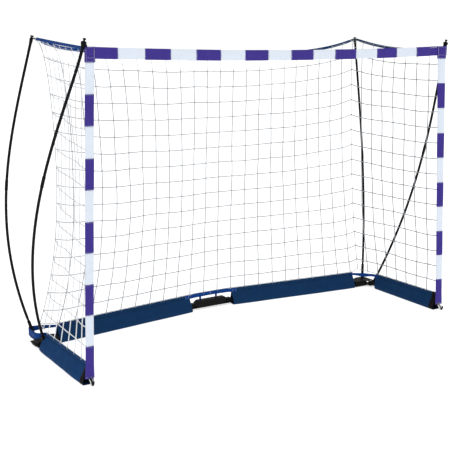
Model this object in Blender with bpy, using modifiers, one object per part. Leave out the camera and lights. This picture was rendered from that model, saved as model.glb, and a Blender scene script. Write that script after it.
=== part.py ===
"""A folding goal, 3 m wide and 2 m high: a hinged steel base in fabric sleeves, four bowed
fibreglass poles, and a fabric mouth with nets and webbing straps pulled tight between them.

Metres, +Z up. X runs along the crossbar, the mouth faces -Y, and z = 0 is the ground.
The origin is the middle of the footprint on the ground.

The base is a tree of hinges. A centre bracket carries the two halves of the rear tube on
vertical bolts. Each half ends in a corner bracket, which carries a side tube on another
vertical bolt. The rear halves fold forward, and each side tube folds in against its half.
"""

import math

import bmesh
import bpy
from mathutils import Matrix, Vector

# ---------------------------------------------------------------- driving dimensions
Y_MID = 0.5166         # middle of the footprint, measured back from the mouth plane
HALF_W = 1.5            # mouth plane to the outer edge of a post, from the middle
H_TOP = 2.060           # top of the crossbar at its ends
BAR_SAG = 0.025         # how far the crossbar hangs at the middle
BAR_H = 0.070           # height of the crossbar band
BAR_END = 1.476         # outer edge of the fabric mouth at the top

TUBE_R, TUBE_IN = 0.0150, 0.0133
TUBE_Z = 0.034          # height of the tubes' axis
EAR = ((0.0150, 0.0185), (0.0495, 0.0530))      # heights of the lower and upper ears

PIVOT_X, PIVOT_Y = 0.160, 1.017     # centre bracket's bolts
REAR_TILT = math.radians(6.7)       # each rear half comes forward by this much at rest
SIDE_X, SIDE_Y = 1.478, 0.790       # bolt of a side tube, and the tube's axis in X
REAR_LEN = 1.2888                   # centre bolt to the rear tube's outer end
STUB = 0.018                        # tube past its bolt

HOLE_R, BOLT_R = 0.0042, 0.0038
SLEEVE_TOP = 0.128
SLEEVE_BORE = 0.0153

POLE_R, SOCKET_R, SOCKET_BORE = 0.0075, 0.0115, 0.0079
FERRULE_R, FERRULE_LEN, CAP_R = 0.0097, 0.070, 0.0098

# each pole is one bend: base, two handles and tip, as (out past the post, back, up)
BOW = {
    "front": ((-0.001, 0.742, 0.100), (0.312, 0.487, 0.948), (0.008, 0.104, 1.752), (-0.019, -0.009, 2.095)),
    "rear": ((0.006, 0.932, 0.100), (0.242, 1.167, 0.866), (0.060, 1.063, 1.504), (-0.070, 0.991, 2.135)),
}
MOUTH_Z = {"front": 0.105, "rear": 0.160}       # height of the sockets' mouths
SOCKET_DEEP = 0.055                             # how far a pole goes in

NET = 0.001
WEB_H, WEB_T = 0.018, 0.002

# ---------------------------------------------------------------- scene
for old in list(bpy.data.objects):
    bpy.data.objects.remove(old, do_unlink=True)
for old in list(bpy.data.meshes):
    bpy.data.meshes.remove(old)

goal = bpy.data.collections.new("folding_goal")
tools = bpy.data.collections.new("cutters")
bpy.context.scene.collection.children.link(goal)
bpy.context.scene.collection.children.link(tools)


def material(name, colour, rough, metal=0.0):
    m = bpy.data.materials.new(name)
    m.use_nodes = True
    m.diffuse_color = (*colour, 1)
    b = m.node_tree.nodes["Principled BSDF"]
    b.inputs["Base Color"].default_value = (*colour, 1)
    b.inputs["Roughness"].default_value = rough
    b.inputs["Metallic"].default_value = metal
    return m


STEEL = material("black_steel", (0.020, 0.020, 0.022), 0.42, 0.6)
BOLT = material("bolt", (0.45, 0.45, 0.47), 0.35, 1.0)
GLASS = material("pole_fibre", (0.015, 0.015, 0.017), 0.38)
PLASTIC = material("black_plastic", (0.025, 0.025, 0.028), 0.55)
NAVY = material("sleeve_fabric", (0.012, 0.055, 0.155), 0.85)
PURPLE = material("mouth_fabric", (0.080, 0.030, 0.330), 0.75)
CORD = material("net_cord", (0.80, 0.82, 0.85), 0.80)
BLUE = material("webbing", (0.006, 0.085, 0.420), 0.70)
WHITE = material("white_webbing", (0.80, 0.82, 0.85), 0.75)


def at(x, y, z):
    """A point given from the mouth plane, in the part's frame."""
    return Vector((x, y - Y_MID, z))


# ---------------------------------------------------------------- bend of the poles
def bow(kind, t):
    a, b, c, d = (Vector(p) for p in BOW[kind])
    u = 1 - t
    return a * u**3 + b * 3 * u * u * t + c * 3 * u * t * t + d * t**3


def bow_way(kind, t):
    a, b, c, d = (Vector(p) for p in BOW[kind])
    u = 1 - t
    return ((b - a) * u * u + (c - b) * 2 * u * t + (d - c) * t * t).normalized()


def bow_at(kind, z):
    lo, hi = 0.0, 1.0
    for _ in range(60):
        mid = (lo + hi) / 2
        lo, hi = (mid, hi) if bow(kind, mid).z < z else (lo, mid)
    return (lo + hi) / 2


def world(s, p):
    """(out, back, up) on side s, -1 for left and 1 for right, in the part's frame."""
    return at(s * (HALF_W + p[0]), p[1], p[2])


def turned(s, v):
    return Vector((s * v[0], v[1], v[2]))


# ---------------------------------------------------------------- bodies and their pivots
PIVOTS = {"centre": at(0, PIVOT_Y, 0)}
for s, side in ((-1, "left"), (1, "right")):
    PIVOTS["rear_" + side] = at(s * PIVOT_X, PIVOT_Y, 0)
    PIVOTS["side_" + side] = at(s * SIDE_X, SIDE_Y, 0)
    for kind in ("front", "rear"):
        PIVOTS[f"{kind}_pole_{side}_body"] = world(s, bow(kind, bow_at(kind, MOUTH_Z[kind])))
EMPTIES = {}
for body, place in PIVOTS.items():
    e = bpy.data.objects.new("joint_" + body, None)
    e.location = place
    goal.objects.link(e)
    EMPTIES[body] = e


def put(name, mesh, mat, body):
    """An object from a mesh drawn in the part's frame. Its origin moves to its body's joint."""
    mesh.name = name
    mesh.transform(Matrix.Translation(-PIVOTS[body]))
    mesh.materials.clear()
    mesh.materials.append(mat)
    o = bpy.data.objects.new(name, mesh)
    goal.objects.link(o)
    o.parent = EMPTIES[body]
    return o


def smooth(o, angle=35):
    o.data.shade_smooth()
    o.data.set_sharp_from_angle(angle=math.radians(angle))


def baked(curve):
    """The mesh of a curve, with its caps welded."""
    o = bpy.data.objects.new("guide", curve)
    tools.objects.link(o)
    bpy.context.view_layer.update()
    m = bpy.data.meshes.new_from_object(o.evaluated_get(bpy.context.evaluated_depsgraph_get()))
    bpy.data.objects.remove(o)
    bpy.data.curves.remove(curve)
    bm = bmesh.new()
    bm.from_mesh(m)
    bmesh.ops.remove_doubles(bm, verts=bm.verts, dist=1e-5)
    bmesh.ops.recalc_face_normals(bm, faces=bm.faces)
    if bm.calc_volume(signed=True) < 0:
        bmesh.ops.reverse_faces(bm, faces=bm.faces)
    bm.to_mesh(m)
    bm.free()
    return m


def circle(r, n=20, cx=0.0, cy=0.0):
    return [(cx + r * math.cos(2 * math.pi * k / n), cy + r * math.sin(2 * math.pi * k / n)) for k in range(n)]


def plate(loops, low, high):
    """A flat outline in XY, with holes after the first loop, between two heights."""
    c = bpy.data.curves.new("outline", "CURVE")
    c.dimensions = "2D"
    c.fill_mode = "BOTH"
    c.extrude = (high - low) / 2
    for loop in loops:
        sp = c.splines.new("POLY")
        sp.points.add(len(loop) - 1)
        for pt, (x, y) in zip(sp.points, loop):
            pt.co = (x, y, 0, 1)
        sp.use_cyclic_u = True
    m = baked(c)
    m.transform(Matrix.Translation((0, 0, (low + high) / 2)))
    return m


def upright(loops, front, back):
    """An outline in XZ between two depths, both from the mouth plane."""
    m = plate(loops, -(back - Y_MID), -(front - Y_MID))
    m.transform(Matrix.Rotation(math.pi / 2, 4, "X"))
    return m


def section(loops, start, way, low, high):
    """A section (across, up) run along a level direction, from low to high past the start."""
    m = plate(loops, low, high)
    way = way.normalized()
    across = Vector((-way.y, way.x, 0))
    turn = Matrix((across, (0, 0, 1), way)).transposed().to_4x4()
    m.transform(Matrix.Translation(start) @ turn)
    return m


def rod(points, r, sides=2):
    c = bpy.data.curves.new("rod", "CURVE")
    c.dimensions = "3D"
    c.fill_mode = "FULL"
    c.bevel_depth = r
    c.bevel_resolution = sides
    c.use_fill_caps = True
    sp = c.splines.new("POLY")
    sp.points.add(len(points) - 1)
    for pt, p in zip(sp.points, points):
        pt.co = (*p, 1)
    return baked(c)


def lathe(name, profile, mat, body, place, way=Vector((0, 0, 1)), steps=16):
    """A turned piece. The profile is (radius, height), from the top down its outer side."""
    m = bpy.data.meshes.new(name)
    m.from_pydata([(r, 0, z) for r, z in profile], [(k, k + 1) for k in range(len(profile) - 1)], [])
    o = bpy.data.objects.new(name, m)
    goal.objects.link(o)
    m.materials.append(mat)
    o.parent = EMPTIES[body]
    o.location = place - PIVOTS[body]
    o.rotation_euler = way.to_track_quat("Z", "Y").to_euler()
    sc = o.modifiers.new("turn", "SCREW")
    sc.steps = sc.render_steps = steps
    sc.use_merge_vertices = True
    sc.merge_threshold = 0.00002
    sc.use_smooth_shade = False
    return o


def cutter(name, mesh):
    o = bpy.data.objects.new("cut_" + name, mesh)
    tools.objects.link(o)
    o.hide_render = True
    o.display_type = "WIRE"
    return o


def cut(o, tool):
    b = o.modifiers.new("cut", "BOOLEAN")
    b.operation = "DIFFERENCE"
    b.solver = "EXACT"
    b.object = tool
    return o


def drum(r, place, way, length, n=16):
    bm = bmesh.new()
    bmesh.ops.create_cone(bm, cap_ends=True, segments=n, radius1=r, radius2=r, depth=length)
    bm.transform(Matrix.Translation(place) @ way.to_track_quat("Z", "Y").to_matrix().to_4x4())
    m = bpy.data.meshes.new("drum")
    bm.to_mesh(m)
    bm.free()
    return m


def block(low, high):
    bm = bmesh.new()
    bmesh.ops.create_cube(bm, size=1)
    for v in bm.verts:
        v.co = Vector(((h + l) / 2 + c * (h - l) for c, l, h in zip(v.co, low, high)))
    m = bpy.data.meshes.new("block")
    bm.to_mesh(m)
    bm.free()
    return m


def skin(name, f, nu, nv, thick, mat, body):
    """A thin panel: a grid laid on f(u, v), then given its thickness."""
    bm = bmesh.new()
    bmesh.ops.create_grid(bm, x_segments=nu, y_segments=nv, size=0.5)
    for v in bm.verts:
        v.co = f(v.co.x + 0.5, v.co.y + 0.5)
    m = bpy.data.meshes.new(name)
    bm.to_mesh(m)
    bm.free()
    o = put(name, m, mat, body)
    so = o.modifiers.new("thickness", "SOLIDIFY")
    so.thickness = thick
    so.offset = 0
    so.use_even_offset = True
    return o


UP = Vector((0, 0, 1))


def bolt(name, body, x, y):
    """A hex-headed bolt and its nut, as one piece, through both ears."""
    top, low = EAR[1][1] + 0.0003, EAR[0][0] - 0.0003
    profile = [(0, top + 0.005), (0.0075, top + 0.005), (0.0075, top), (BOLT_R, top),
               (BOLT_R, low), (0.0072, low), (0.0072, low - 0.0055), (0, low - 0.0055)]
    return lathe(name, profile, BOLT, body, at(x, y, 0), UP, 12)


def half_width(z):
    """The sleeve's half width: full round the tube, drawn in to a seam at the top."""
    if z < TUBE_Z:
        k = (TUBE_Z - z) / TUBE_Z
        return 0.0183 - 0.0093 * k**3.2
    k = (z - TUBE_Z) / (SLEEVE_TOP - TUBE_Z)
    return 0.0183 * (1 - k) ** 1.25 + 0.0032 * k


def sleeve_section():
    rise = [0, 0.004, 0.011, 0.021, 0.031, 0.040, 0.050, 0.062, 0.078, 0.096, 0.114, SLEEVE_TOP]
    side = [(half_width(z), z) for z in rise]
    outer = side + [(-w, z) for w, z in reversed(side)]
    return [outer, circle(SLEEVE_BORE, 16, 0, TUBE_Z)]


TUBE_SECTION = [circle(TUBE_R, 20, 0, TUBE_Z), circle(TUBE_IN, 20, 0, TUBE_Z)]


# ---------------------------------------------------------------- soft edges of the net
# corner strap: (out, back, lower edge, upper edge), from the rear sleeve round the rear pole's socket to the side sleeve
LASH = ((1.352, 0.8765, 0.104, 0.124), (1.400, 0.908, 0.099, 0.123), (1.450, 0.938, 0.090, 0.121), (1.494, 0.9565, 0.078, 0.119),
        (1.518, 0.9585, 0.070, 0.118), (1.529, 0.950, 0.066, 0.118), (1.531, 0.910, 0.063, 0.118), (1.531, 0.860, 0.063, 0.118),
        (1.530, 0.810, 0.068, 0.118), (1.519, 0.776, 0.082, 0.119), (1.499, 0.7665, 0.098, 0.121), (1.480, 0.7620, 0.100, 0.123),
        (1.4725, 0.7480, 0.101, 0.124), (1.4735, 0.7255, 0.102, 0.124))
STRAP_BEND = {-1: 10, 1: 5}         # the left strap turns up late, near the pole, and the right one sooner
SIDE_SAG = {-1: 0.002, 1: 0.032}    # the left side strap is pulled straight and the right one hangs


def strap_z(x, s):
    return 1.985 + 0.0335 * x * x + 0.067 * (abs(x) / 1.430) ** STRAP_BEND[s]


def rear_axis_y(x):
    return PIVOT_Y - max(0.0, abs(x) - PIVOT_X) * math.tan(REAR_TILT)


def rear_top(u, s):
    """The rear strap from the middle, u = 0, to the pole's tip, u = 1: (out from the middle, back, up)."""
    x = 1.422 * u
    return Vector((x, 0.950 + 0.040 * u * u, strap_z(x, s)))


def rear_bottom(u):
    x = 1.4506 * u
    y = rear_axis_y(x) if x < 1.345 else rear_axis_y(1.345) + (0.930 - rear_axis_y(1.345)) * (x - 1.345) / (1.4506 - 1.345)
    return Vector((x, y, SLEEVE_TOP + 0.0045))


def corner_edge(v, s):
    """The corner where the rear and side nets meet, drawn in from the poles, bottom to top."""
    a, b = Vector((1.4506, 0.930, SLEEVE_TOP + 0.0045)), Vector((1.422, 0.990, strap_z(1.422, s)))
    p = a.lerp(b, v)
    pull = (4 * v * (1 - v)) ** (0.95 - 0.50 * v)
    return p + Vector((-0.116 * pull, -0.078 * pull, 0))


def middle_edge(v, s):
    a, b = rear_bottom(0), rear_top(0, s)
    return a.lerp(b, v)


def side_bottom(u):
    """From the corner, u = 0, to the post, u = 1, along the top of the side sleeve."""
    y = 0.930 - (0.930 - 0.016) * u
    x = 1.4506 + (SIDE_X - 1.4506) * min(1.0, u / 0.22)
    return Vector((x, y, SLEEVE_TOP + 0.0045))


def side_top(u, s):
    a, b = Vector((1.434, 0.978, 2.117)), Vector((1.467, 0.006, 2.046))
    p = a.lerp(b, u)
    p.z -= SIDE_SAG[s] * 4 * u * (1 - u)
    return p


def post_edge(v, s):
    a, b = side_bottom(1), side_top(1, s)
    p = a.lerp(b, v)
    p.y = 0.016
    p.x -= 0.014 * 4 * v * (1 - v)
    return p


def coons(u, v, low, high, first, last):
    """A patch between four edges: low and high run with u, first and last with v."""
    p = low(u) * (1 - v) + high(u) * v + first(v) * (1 - u) + last(v) * u
    p -= low(0) * (1 - u) * (1 - v) + low(1) * u * (1 - v) + high(0) * (1 - u) * v + high(1) * u * v
    return p


def rear_panel(u, v, s):
    return coons(u, v, rear_bottom, lambda k: rear_top(k, s), lambda k: middle_edge(k, s), lambda k: corner_edge(k, s))


def side_panel(u, v, s):
    return coons(u, v, side_bottom, lambda k: side_top(k, s), lambda k: corner_edge(k, s), lambda k: post_edge(k, s))


def bar_top(x):
    return H_TOP - BAR_SAG * (1 - (abs(x) / HALF_W) ** 2)


def roof_panel(u, v, s):
    """u from the middle to the side, v from the rear strap to the crossbar."""
    back = rear_top(u * 0.985, s)
    front = Vector((1.458 * u, 0.004, bar_top(1.458 * u) - 0.004))
    p = back.lerp(front, v)
    p.z -= 0.030 * 4 * v * (1 - v) * (1 - u**6)
    return p


# ================================================================ centre
m = upright(
    [[(-0.186, EAR[0][0]), (0.186, EAR[0][0]), (0.186, EAR[1][1]), (0.148, EAR[1][1]), (0.122, 0.074),
      (-0.122, 0.074), (-0.148, EAR[1][1]), (-0.186, EAR[1][1])]],
    PIVOT_Y - 0.022, PIVOT_Y + 0.022)
bracket = put("centre_bracket", m, STEEL, "centre")
a, b = at(-0.116, PIVOT_Y - 0.0185, -0.02), at(0.116, PIVOT_Y + 0.0185, 0.0705)
cut(bracket, cutter("centre_hollow", block(a, b)))
for s, side in ((-1, "left"), (1, "right")):
    a, b = at(s * 0.132, PIVOT_Y - 0.04, EAR[0][1]), at(s * 0.200, PIVOT_Y + 0.04, EAR[1][0])
    a.x, b.x = min(a.x, b.x), max(a.x, b.x)
    cut(bracket, cutter("centre_slot_" + side, block(a, b)))
    cut(bracket, cutter("centre_hole_" + side, drum(HOLE_R, at(s * PIVOT_X, PIVOT_Y, 0.03), UP, 0.2)))
    bolt("centre_bolt_" + side, "centre", s * PIVOT_X, PIVOT_Y)

skin("centre_strap",
     lambda u, v: at(-0.188 + 0.376 * u, PIVOT_Y, 0.0985 + 0.027 * v + 0.004 * (1 - (2 * u - 1) ** 2)),
     10, 1, WEB_T, BLUE, "centre")

# ================================================================ both sides
for s, side in ((-1, "left"), (1, "right")):
    rear, flank = "rear_" + side, "side_" + side

    # ---- rear half: tube, bolt eye and corner bracket
    pivot = at(s * PIVOT_X, PIVOT_Y, 0)
    way = Vector((s * math.cos(REAR_TILT), -math.sin(REAR_TILT), 0))
    tube = put(f"rear_tube_{side}", section(TUBE_SECTION, pivot, way, -STUB, REAR_LEN), STEEL, rear)
    cut(tube, cutter(f"rear_tube_hole_{side}", drum(HOLE_R, pivot + UP * 0.03, UP, 0.2)))
    smooth(tube)

    def corner(x, y):
        return (s * x, y - Y_MID)

    # the ears are round about the bolt, so the pole's socket swings past them
    plan = [corner(1.520, 0.7760)]
    plan += [corner(SIDE_X + 0.0195 * math.cos(math.radians(k)), SIDE_Y + 0.0195 * math.sin(math.radians(k)))
             for k in range(310, 149, -20)]
    plan += [corner(1.446, 0.8200), corner(1.350, 0.8325),
             corner(1.350, 0.9005), corner(1.440, 0.9450), corner(1.512, 0.9450), corner(1.522, 0.935)]
    body = put(f"corner_bracket_{side}", plate([plan], EAR[0][0], EAR[1][1]), STEEL, rear)
    k = math.tan(REAR_TILT)
    line = SIDE_Y + 0.0262

    def slot_y(x):
        return line + (SIDE_X - x) * k

    gap = plate([[corner(1.56, 0.70), corner(1.30, 0.70), corner(1.30, slot_y(1.30)), corner(1.456, slot_y(1.456)),
                  corner(1.456, 0.97), corner(1.56, 0.97)]], EAR[0][1], EAR[1][0])
    cut(body, cutter(f"corner_slot_{side}", gap))
    reach = 1.2900
    bore = drum(SLEEVE_BORE, pivot + way * (reach - 0.1) + UP * TUBE_Z, way, 0.2, 20)
    cut(body, cutter(f"corner_bore_{side}", bore))
    cut(body, cutter(f"corner_hole_{side}", drum(HOLE_R, at(s * SIDE_X, SIDE_Y, 0.03), UP, 0.2)))
    bolt(f"corner_bolt_{side}", rear, s * SIDE_X, SIDE_Y)

    pad = [corner(1.505, 0.850), corner(1.370, 0.850), corner(1.362, 0.858), corner(1.362, 0.885),
           corner(1.435, 0.930), corner(1.505, 0.930), corner(1.512, 0.923), corner(1.512, 0.857)]
    put(f"corner_foot_{side}", plate([pad], 0.0, EAR[0][0] - 0.0003), PLASTIC, rear)

    # ---- rear half: soft parts
    put(f"rear_sleeve_{side}", section(sleeve_section(), pivot, way, 0.0362, 1.1930), NAVY, rear)
    # the inner edge stands back from the middle, more at the top, so the two halves pass each other as they fold
    skin(f"rear_net_{side}",
         lambda u, v: at(*(lambda p: (s * p.x, p.y, p.z))(
             rear_panel(0.9960 - (0.9952 - 0.0115 * v * v) * (1 - u), 0.001 + 0.990 * v, s))),
         14, 12, NET, CORD, rear)
    skin(f"rear_top_strap_{side}",
         lambda u, v: at(*(lambda p: (s * p.x, p.y + 0.0045, p.z - 0.006 + WEB_H * v))(rear_top(0.0004 + 0.9926 * u, s))),
         24, 1, WEB_T, BLUE, rear)

    def lash(u):
        """The strap that bridges the two sleeves round the outside of the corner: plan, lower edge and upper edge."""
        k = min(len(LASH) - 2, int(u * (len(LASH) - 1)))
        t = u * (len(LASH) - 1) - k
        return [a + (b - a) * t for a, b in zip(LASH[k], LASH[k + 1])]

    skin(f"corner_strap_{side}",
         lambda u, v: at(s * lash(u)[0], lash(u)[1], lash(u)[2] + (lash(u)[3] - lash(u)[2]) * v),
         len(LASH) - 1, 1, WEB_T, BLUE, rear)

    # ---- side tube, its foot hook and its sleeve
    hinge = at(s * SIDE_X, SIDE_Y, 0)
    front_way = Vector((0, -1, 0))
    tube = put(f"side_tube_{side}", section(TUBE_SECTION, hinge, front_way, -STUB, SIDE_Y - 0.0040), STEEL, flank)
    cut(tube, cutter(f"side_tube_hole_{side}", drum(HOLE_R, hinge + UP * 0.03, UP, 0.2)))
    smooth(tube)
    cap = section([circle(0.0162, 20, 0, TUBE_Z)], hinge, front_way, SIDE_Y - 0.0037, SIDE_Y + 0.0050)
    smooth(put(f"tube_cap_{side}", cap, PLASTIC, flank))

    hook = []
    q0, q1, q2, q3 = (Vector(q) for q in ((-0.0066, TUBE_Z), (-0.0210, TUBE_Z), (-0.0110, 0.0100), (-0.0280, 0.0100)))
    r1, r2, r3 = (Vector(q) for q in ((-0.0420, 0.0100), (-0.0480, 0.0150), (-0.0480, 0.0370)))
    for n in range(9):
        t = n / 8
        w = 1 - t
        hook.append(q0 * w**3 + q1 * 3 * w * w * t + q2 * 3 * w * t * t + q3 * t**3)
    for n in range(1, 9):
        t = n / 8
        w = 1 - t
        hook.append(q3 * w**3 + r1 * 3 * w * w * t + r2 * 3 * w * t * t + r3 * t**3)
    smooth(put(f"post_hook_{side}", rod([at(s * SIDE_X, p.x, p.y) for p in hook], 0.0060, 3), STEEL, flank))

    put(f"side_sleeve_{side}", section(sleeve_section(), hinge, front_way, SIDE_Y - 0.722, SIDE_Y - 0.012), NAVY, flank)

    # ---- mouth: post, its loop and half a crossbar
    inner = [(0.055, 1.4520), (0.075, 1.4532), (0.130, 1.4542), (1.000, 1.4374), (1.700, 1.4232), (1.9870, 1.4140)]
    outer = [(0.055, 1.5120), (0.130, 1.5086), (1.000, 1.4929), (1.9870, BAR_END)]
    post = [(s * x, z) for z, x in inner] + [(s * x, z) for z, x in reversed(outer)]
    o = put(f"post_{side}", upright([post], -0.011, 0.009), PURPLE, flank)
    bev = o.modifiers.new("round", "BEVEL")
    bev.width = 0.005
    bev.segments = 2
    bev.limit_method = "ANGLE"
    bev.angle_limit = math.radians(60)

    # a loop of webbing, slanting forward from the post's foot down round the hook
    def ring(grow):
        """The loop's outline in XZ: round the hook below and flat under the post above."""
        pts = [Vector((0.0064 * math.cos(math.radians(k)), 0.0100 + 0.0064 * math.sin(math.radians(k)))) for k in range(192, 349, 26)]
        pts += [Vector((0.0095, 0.0532)), Vector((-0.0095, 0.0532))]
        grown = []
        for before, p, after in zip(pts[-1:] + pts[:-1], pts, pts[1:] + pts[:1]):
            i, j = (p - before).normalized(), (after - p).normalized()
            n = (Vector((i.y, -i.x)) + Vector((j.y, -j.x))).normalized()
            grown.append(p + n * grow / max(0.5, n.dot(Vector((i.y, -i.x)))))
        return [(p.x + s * SIDE_X, p.y) for p in grown]

    loop = upright([ring(0.0014), ring(0.0)], -0.006, 0.006)
    for v in loop.vertices:
        v.co.y += -0.030 + 0.380 * (v.co.z - 0.0036)
    put(f"post_loop_{side}", loop, WHITE, flank)

    n = 12
    xs = [0.0003 + (BAR_END - 0.0003) * k / n for k in range(n + 1)]
    bar = [(s * x, bar_top(x)) for x in xs] + [(s * x, bar_top(x) - BAR_H) for x in reversed(xs)]
    put(f"crossbar_{side}", upright([bar], -0.0085, -0.0010), PURPLE, flank)

    # ---- side and roof nets and their strap
    skin(f"side_net_{side}",
         lambda u, v: at(*(lambda p: (s * p.x, p.y, p.z))(side_panel(0.0075 + 0.990 * u, 0.002 + 0.984 * v, s))),
         10, 12, NET, CORD, flank)
    skin(f"roof_net_{side}",
         lambda u, v: at(*(lambda p: (s * p.x, p.y, p.z))(roof_panel(0.0006 + 0.975 * u, 0.012 + 0.980 * v, s))),
         14, 6, NET, CORD, rear)
    skin(f"side_top_strap_{side}",
         lambda u, v: at(*(lambda p: (s * p.x, p.y, p.z - 0.006 + WEB_H * v))(side_top(0.004 + 0.990 * u, s))),
         16, 1, WEB_T, BLUE, flank)

    # ---- poles: socket, two sections with their ferrule, and the tip
    for kind, owner in (("front", flank), ("rear", rear)):
        body = f"{kind}_pole_{side}_body"
        t0 = bow_at(kind, MOUTH_Z[kind])
        mouth, lean = world(s, bow(kind, t0)), turned(s, bow_way(kind, t0))
        floor = EAR[1][1] + 0.0003 if kind == "rear" else TUBE_Z
        deep = (mouth.z - floor) / lean.z
        # the socket is a short tube, cut off level on its plate or fitted over the side tube
        bm = bmesh.new()
        bmesh.ops.create_cone(bm, cap_ends=True, segments=20, radius1=SOCKET_R, radius2=SOCKET_R, depth=deep + 0.012)
        bm.transform(Matrix.Translation(mouth - lean * (deep + 0.012) / 2) @ lean.to_track_quat("Z", "Y").to_matrix().to_4x4())
        m = bpy.data.meshes.new("socket")
        bm.to_mesh(m)
        bm.free()
        socket = put(f"{kind}_pole_socket_{side}", m, STEEL, owner)
        bored = SOCKET_DEEP
        cut(socket, cutter(f"{kind}_bore_{side}", drum(SOCKET_BORE, mouth - lean * (bored / 2 - 0.01), lean, bored + 0.02, 20)))
        if kind == "rear":
            cut(socket, cutter(f"{kind}_floor_{side}", block(mouth + Vector((-0.2, -0.2, -0.4)), Vector((mouth.x + 0.2, mouth.y + 0.2, floor)))))
        else:
            cut(socket, cutter(f"{kind}_saddle_{side}", drum(TUBE_R + 0.0003, at(s * SIDE_X, SIDE_Y - 0.03, TUBE_Z), Vector((0, 1, 0)), 0.3, 32)))
            cut(socket, cutter(f"{kind}_below_{side}", block(mouth + Vector((-0.2, -0.2, -0.4)), Vector((mouth.x + 0.2, mouth.y + 0.2, TUBE_Z + 0.004)))))
        smooth(socket)

        # where the ferrule and the cap sit, as shares of the bend
        length = sum((bow(kind, (k + 1) / 200) - bow(kind, k / 200)).length for k in range(200))
        half = FERRULE_LEN / 2 / length
        mid = 0.47
        tip = 1 - 0.030 / length
        gap = 0.0003 / length
        lower = [mouth - lean * (bored - 0.0010), mouth - lean * (bored * 0.5)]
        lower += [world(s, bow(kind, t0 + (mid - half - gap - t0) * k / 12)) for k in range(13)]
        upper = [world(s, bow(kind, mid + half + gap + (tip - gap - mid - half - gap) * k / 12)) for k in range(13)]
        sleeve = [world(s, bow(kind, mid + half * (2 * k / 4 - 1))) for k in range(5)]
        smooth(put(f"{kind}_pole_lower_{side}", rod(lower, POLE_R), GLASS, body))
        smooth(put(f"{kind}_pole_upper_{side}", rod(upper, POLE_R), GLASS, body))
        smooth(put(f"{kind}_pole_ferrule_{side}", rod(sleeve, FERRULE_R), STEEL, body))
        out = turned(s, bow_way(kind, tip))
        end = world(s, bow(kind, tip)) + out * 0.0004
        profile = [(0, 0.0300), (0.0060, 0.0290), (0.0092, 0.0258), (CAP_R, 0.0222), (0.0064, 0.0190), (0.0062, 0.0125),
                   (0.0086, 0.0100), (0.0088, 0.0), (0, 0.0)]
        smooth(lathe(f"{kind}_pole_cap_{side}", profile, PLASTIC, body, end, out, 12))
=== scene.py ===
"""Looks of a folding goal, 3 m wide and 2 m high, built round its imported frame.

Shapes are drawn in metres from the mouth plane: X along the crossbar, Y back into the goal and
Z up from the ground. Soup.obj() moves them into the part's own frame.
"""

import math

import bpy
import numpy as np
from mathutils import Matrix, Vector


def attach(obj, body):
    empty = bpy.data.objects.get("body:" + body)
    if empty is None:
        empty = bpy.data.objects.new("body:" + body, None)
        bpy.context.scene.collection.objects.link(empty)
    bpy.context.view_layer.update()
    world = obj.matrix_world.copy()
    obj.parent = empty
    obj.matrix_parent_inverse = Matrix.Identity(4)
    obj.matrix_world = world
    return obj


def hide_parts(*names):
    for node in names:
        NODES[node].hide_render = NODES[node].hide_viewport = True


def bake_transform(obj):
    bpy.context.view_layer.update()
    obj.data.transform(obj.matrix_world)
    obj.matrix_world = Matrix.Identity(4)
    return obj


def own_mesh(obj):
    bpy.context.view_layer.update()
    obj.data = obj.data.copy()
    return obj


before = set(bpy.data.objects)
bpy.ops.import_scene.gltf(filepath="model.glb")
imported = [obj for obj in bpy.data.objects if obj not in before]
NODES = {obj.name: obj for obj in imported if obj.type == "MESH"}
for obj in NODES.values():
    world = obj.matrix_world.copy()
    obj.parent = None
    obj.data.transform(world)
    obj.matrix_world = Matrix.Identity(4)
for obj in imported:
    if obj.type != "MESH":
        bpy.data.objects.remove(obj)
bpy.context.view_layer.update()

# ------------------------------------------------------------------ sizes shared with the frame
Y_MID = 0.5166
HALF_W, H_TOP, BAR_SAG, BAR_H, BAR_END = 1.5, 2.060, 0.025, 0.070, 1.476
TUBE_Z = 0.034
PIVOT_X, PIVOT_Y = 0.160, 1.017
REAR_TILT = math.radians(6.7)
SIDE_X, SIDE_Y = 1.478, 0.790
SLEEVE_TOP = 0.128
POLE_R, ROD_R = 0.0075, 0.0096         # in the socket, and above it with the rod's lacquered wrap
STRIPE = 0.1916
BOW = {
    "front": ((-0.001, 0.742, 0.100), (0.312, 0.487, 0.948), (0.008, 0.104, 1.752), (-0.019, -0.009, 2.095)),
    "rear": ((0.006, 0.932, 0.100), (0.242, 1.167, 0.866), (0.060, 1.063, 1.504), (-0.070, 0.991, 2.135)),
}
MOUTH_Z = {"front": 0.105, "rear": 0.160}
SIDES = ((-1, "left"), (1, "right"))
LASH = ((1.352, 0.8765, 0.104, 0.124), (1.400, 0.908, 0.099, 0.123), (1.450, 0.938, 0.090, 0.121), (1.494, 0.9565, 0.078, 0.119),
        (1.518, 0.9585, 0.070, 0.118), (1.529, 0.950, 0.066, 0.118), (1.531, 0.910, 0.063, 0.118), (1.531, 0.860, 0.063, 0.118),
        (1.530, 0.810, 0.068, 0.118), (1.519, 0.776, 0.082, 0.119), (1.499, 0.7665, 0.098, 0.121), (1.480, 0.7620, 0.100, 0.123),
        (1.4725, 0.7480, 0.101, 0.124), (1.4735, 0.7255, 0.102, 0.124))
LASH_STRAIGHT = ((1.352, 0.8650, 0.104, 0.124), (1.382, 0.848, 0.100, 0.122), (1.402, 0.830, 0.092, 0.124), (1.422, 0.810, 0.092, 0.124),
                 (1.444, 0.786, 0.098, 0.122), (1.461, 0.762, 0.099, 0.122), (1.4675, 0.745, 0.101, 0.124), (1.4712, 0.7255, 0.102, 0.124))
STRAP_BEND = {-1: 10, 1: 5}
SIDE_SAG = {-1: 0.002, 1: 0.032}


def vec(*c):
    return np.array(c, float)


def unit(v):
    v = np.asarray(v, float)
    return v / np.maximum(np.linalg.norm(v, axis=-1, keepdims=True), 1e-12)


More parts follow.
